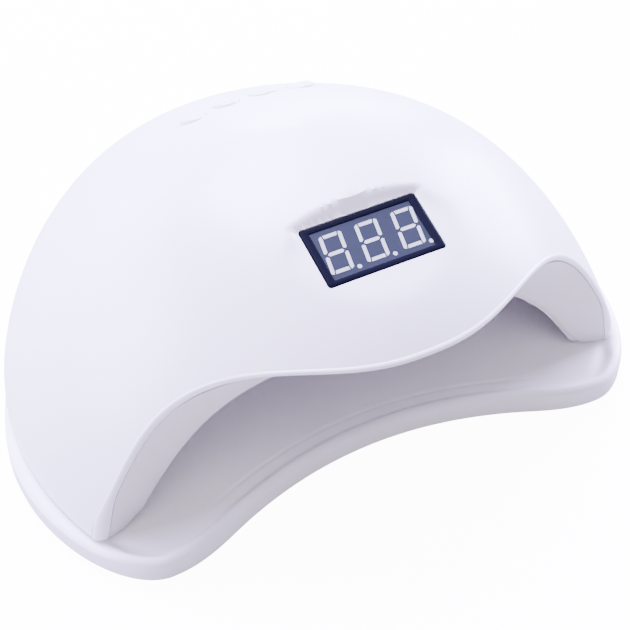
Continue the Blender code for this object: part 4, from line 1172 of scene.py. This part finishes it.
build_shell()
build_liner()
for led_name, led_plane in LEDS:
    build_led(led_name, led_plane)
build_tray()
build_bezel()
build_pane_and_module()
build_digits()
for button_tag, plane in BUTTON_PLANES:
    build_button(button_tag, plane)
build_inlet()
dress_cad_pieces()

# ---------------------------------------------------------------- studio (metres)
COOL = (0.645, 0.587, 1.0)
PLAIN = (1.0, 0.89, 1.0)
PANEL_SIZE = 0.9
PANEL_DISTANCE = 1.5
AIM_Z = 0.04
FLOOR_RADII = (0.25, 0.7, 2.0, 6.0)

# Name, azimuth and elevation in degrees, power in watts, colour.
# Azimuth 0 is in front (-Y) and 90 is on the right (+X).
LIGHTS = (
    ("back_high_softbox", 180.0, 60.0, 188.0, COOL),
    ("back_left_softbox", -150.0, 18.0, 51.0, COOL),
    ("left_softbox", -110.0, 18.0, 80.0, COOL),
    ("right_softbox", 105.0, 18.0, 155.0, COOL),
    ("back_right_softbox", 150.0, 18.0, 71.0, COOL),
    ("front_left_fill", -52.0, 52.0, 9.0, PLAIN),
    ("front_fill", 0.0, 55.0, 10.0, PLAIN),
)


def add_light(name, azimuth, elevation, power, rgb):
    """Square softbox facing the object."""
    turn, rise = math.radians(azimuth), math.radians(elevation)
    away = Vector((math.sin(turn) * math.cos(rise), -math.cos(turn) * math.cos(rise),
                   math.sin(rise)))
    light = bpy.data.lights.new(name, "AREA")
    light.shape = "SQUARE"
    light.size = PANEL_SIZE
    light.energy = power
    light.color = rgb
    ob = bpy.data.objects.new(name, light)
    ob.location = away * PANEL_DISTANCE + Vector((0.0, 0.0, AIM_Z))
    ob.rotation_euler = (-away).to_track_quat("-Z", "Y").to_euler()
    bpy.context.scene.collection.objects.link(ob)


def camera_ray_mix(tree, seen, unseen):
    """Value that differs between what the camera sees directly and what lights the object."""
    is_camera = tree.nodes.new("ShaderNodeLightPath").outputs["Is Camera Ray"]
    return remap(tree, is_camera, to=(unseen, seen), source=(0.0, 1.0))


def build_floor():
    bm = bmesh.new()
    rows = [[bm.verts.new((x, y, 0.0)) for x, y in circle(radius, 96)]
            for radius in FLOOR_RADII]
    bm.faces.new(rows[0])
    for a, b in zip(rows, rows[1:]):
        for i in range(len(a)):
            j = (i + 1) % len(a)
            bm.faces.new((a[i], b[i], b[j], a[j]))
    ob = link_mesh("studio_floor", bm)
    material, tree, bsdf = new_material("studio_floor")
    for socket, value in (
            ("Base Color", (0.35, 0.35, 0.35, 1.0)), ("Roughness", 0.9),
            ("Specular IOR Level", 0.1), ("Emission Color", shade(PLAIN)),
            ("Emission Strength", camera_ray_mix(tree, seen=14.0, unseen=0.7))):
        feed(tree, bsdf.inputs[socket], value)
    ob.data.materials.append(material)


def build_world():
    world = bpy.data.worlds.new("studio")
    bpy.context.scene.world = world
    world.use_nodes = True
    tree = world.node_tree
    background = tree.nodes["Background"]
    background.inputs["Color"].default_value = (0.95, 0.93, 1.0, 1.0)
    tree.links.new(camera_ray_mix(tree, seen=18.0, unseen=0.12),
                   background.inputs["Strength"])


def add_camera():
    """Camera in front of the lamp, to its left and above it."""
    turn, rise = math.radians(27.58), math.radians(44.47)
    right = Vector((math.cos(turn), -math.sin(turn), 0.0))
    up = Vector((math.sin(turn) * math.sin(rise), math.cos(turn) * math.sin(rise),
                 math.cos(rise)))
    camera = bpy.data.cameras.new("photo_camera")
    camera.lens = 82.857143
    camera.sensor_width = 36.0
    camera.clip_start = 0.01
    ob = bpy.data.objects.new("photo_camera", camera)
    pose = Matrix((right, up, right.cross(up))).transposed().to_4x4()
    pose.translation = to_world((-165.6, -279.5, 378.2))
    ob.matrix_world = pose
    bpy.context.scene.collection.objects.link(ob)
    bpy.context.scene.camera = ob


build_floor()
build_world()
for light_settings in LIGHTS:
    add_light(*light_settings)
add_camera()
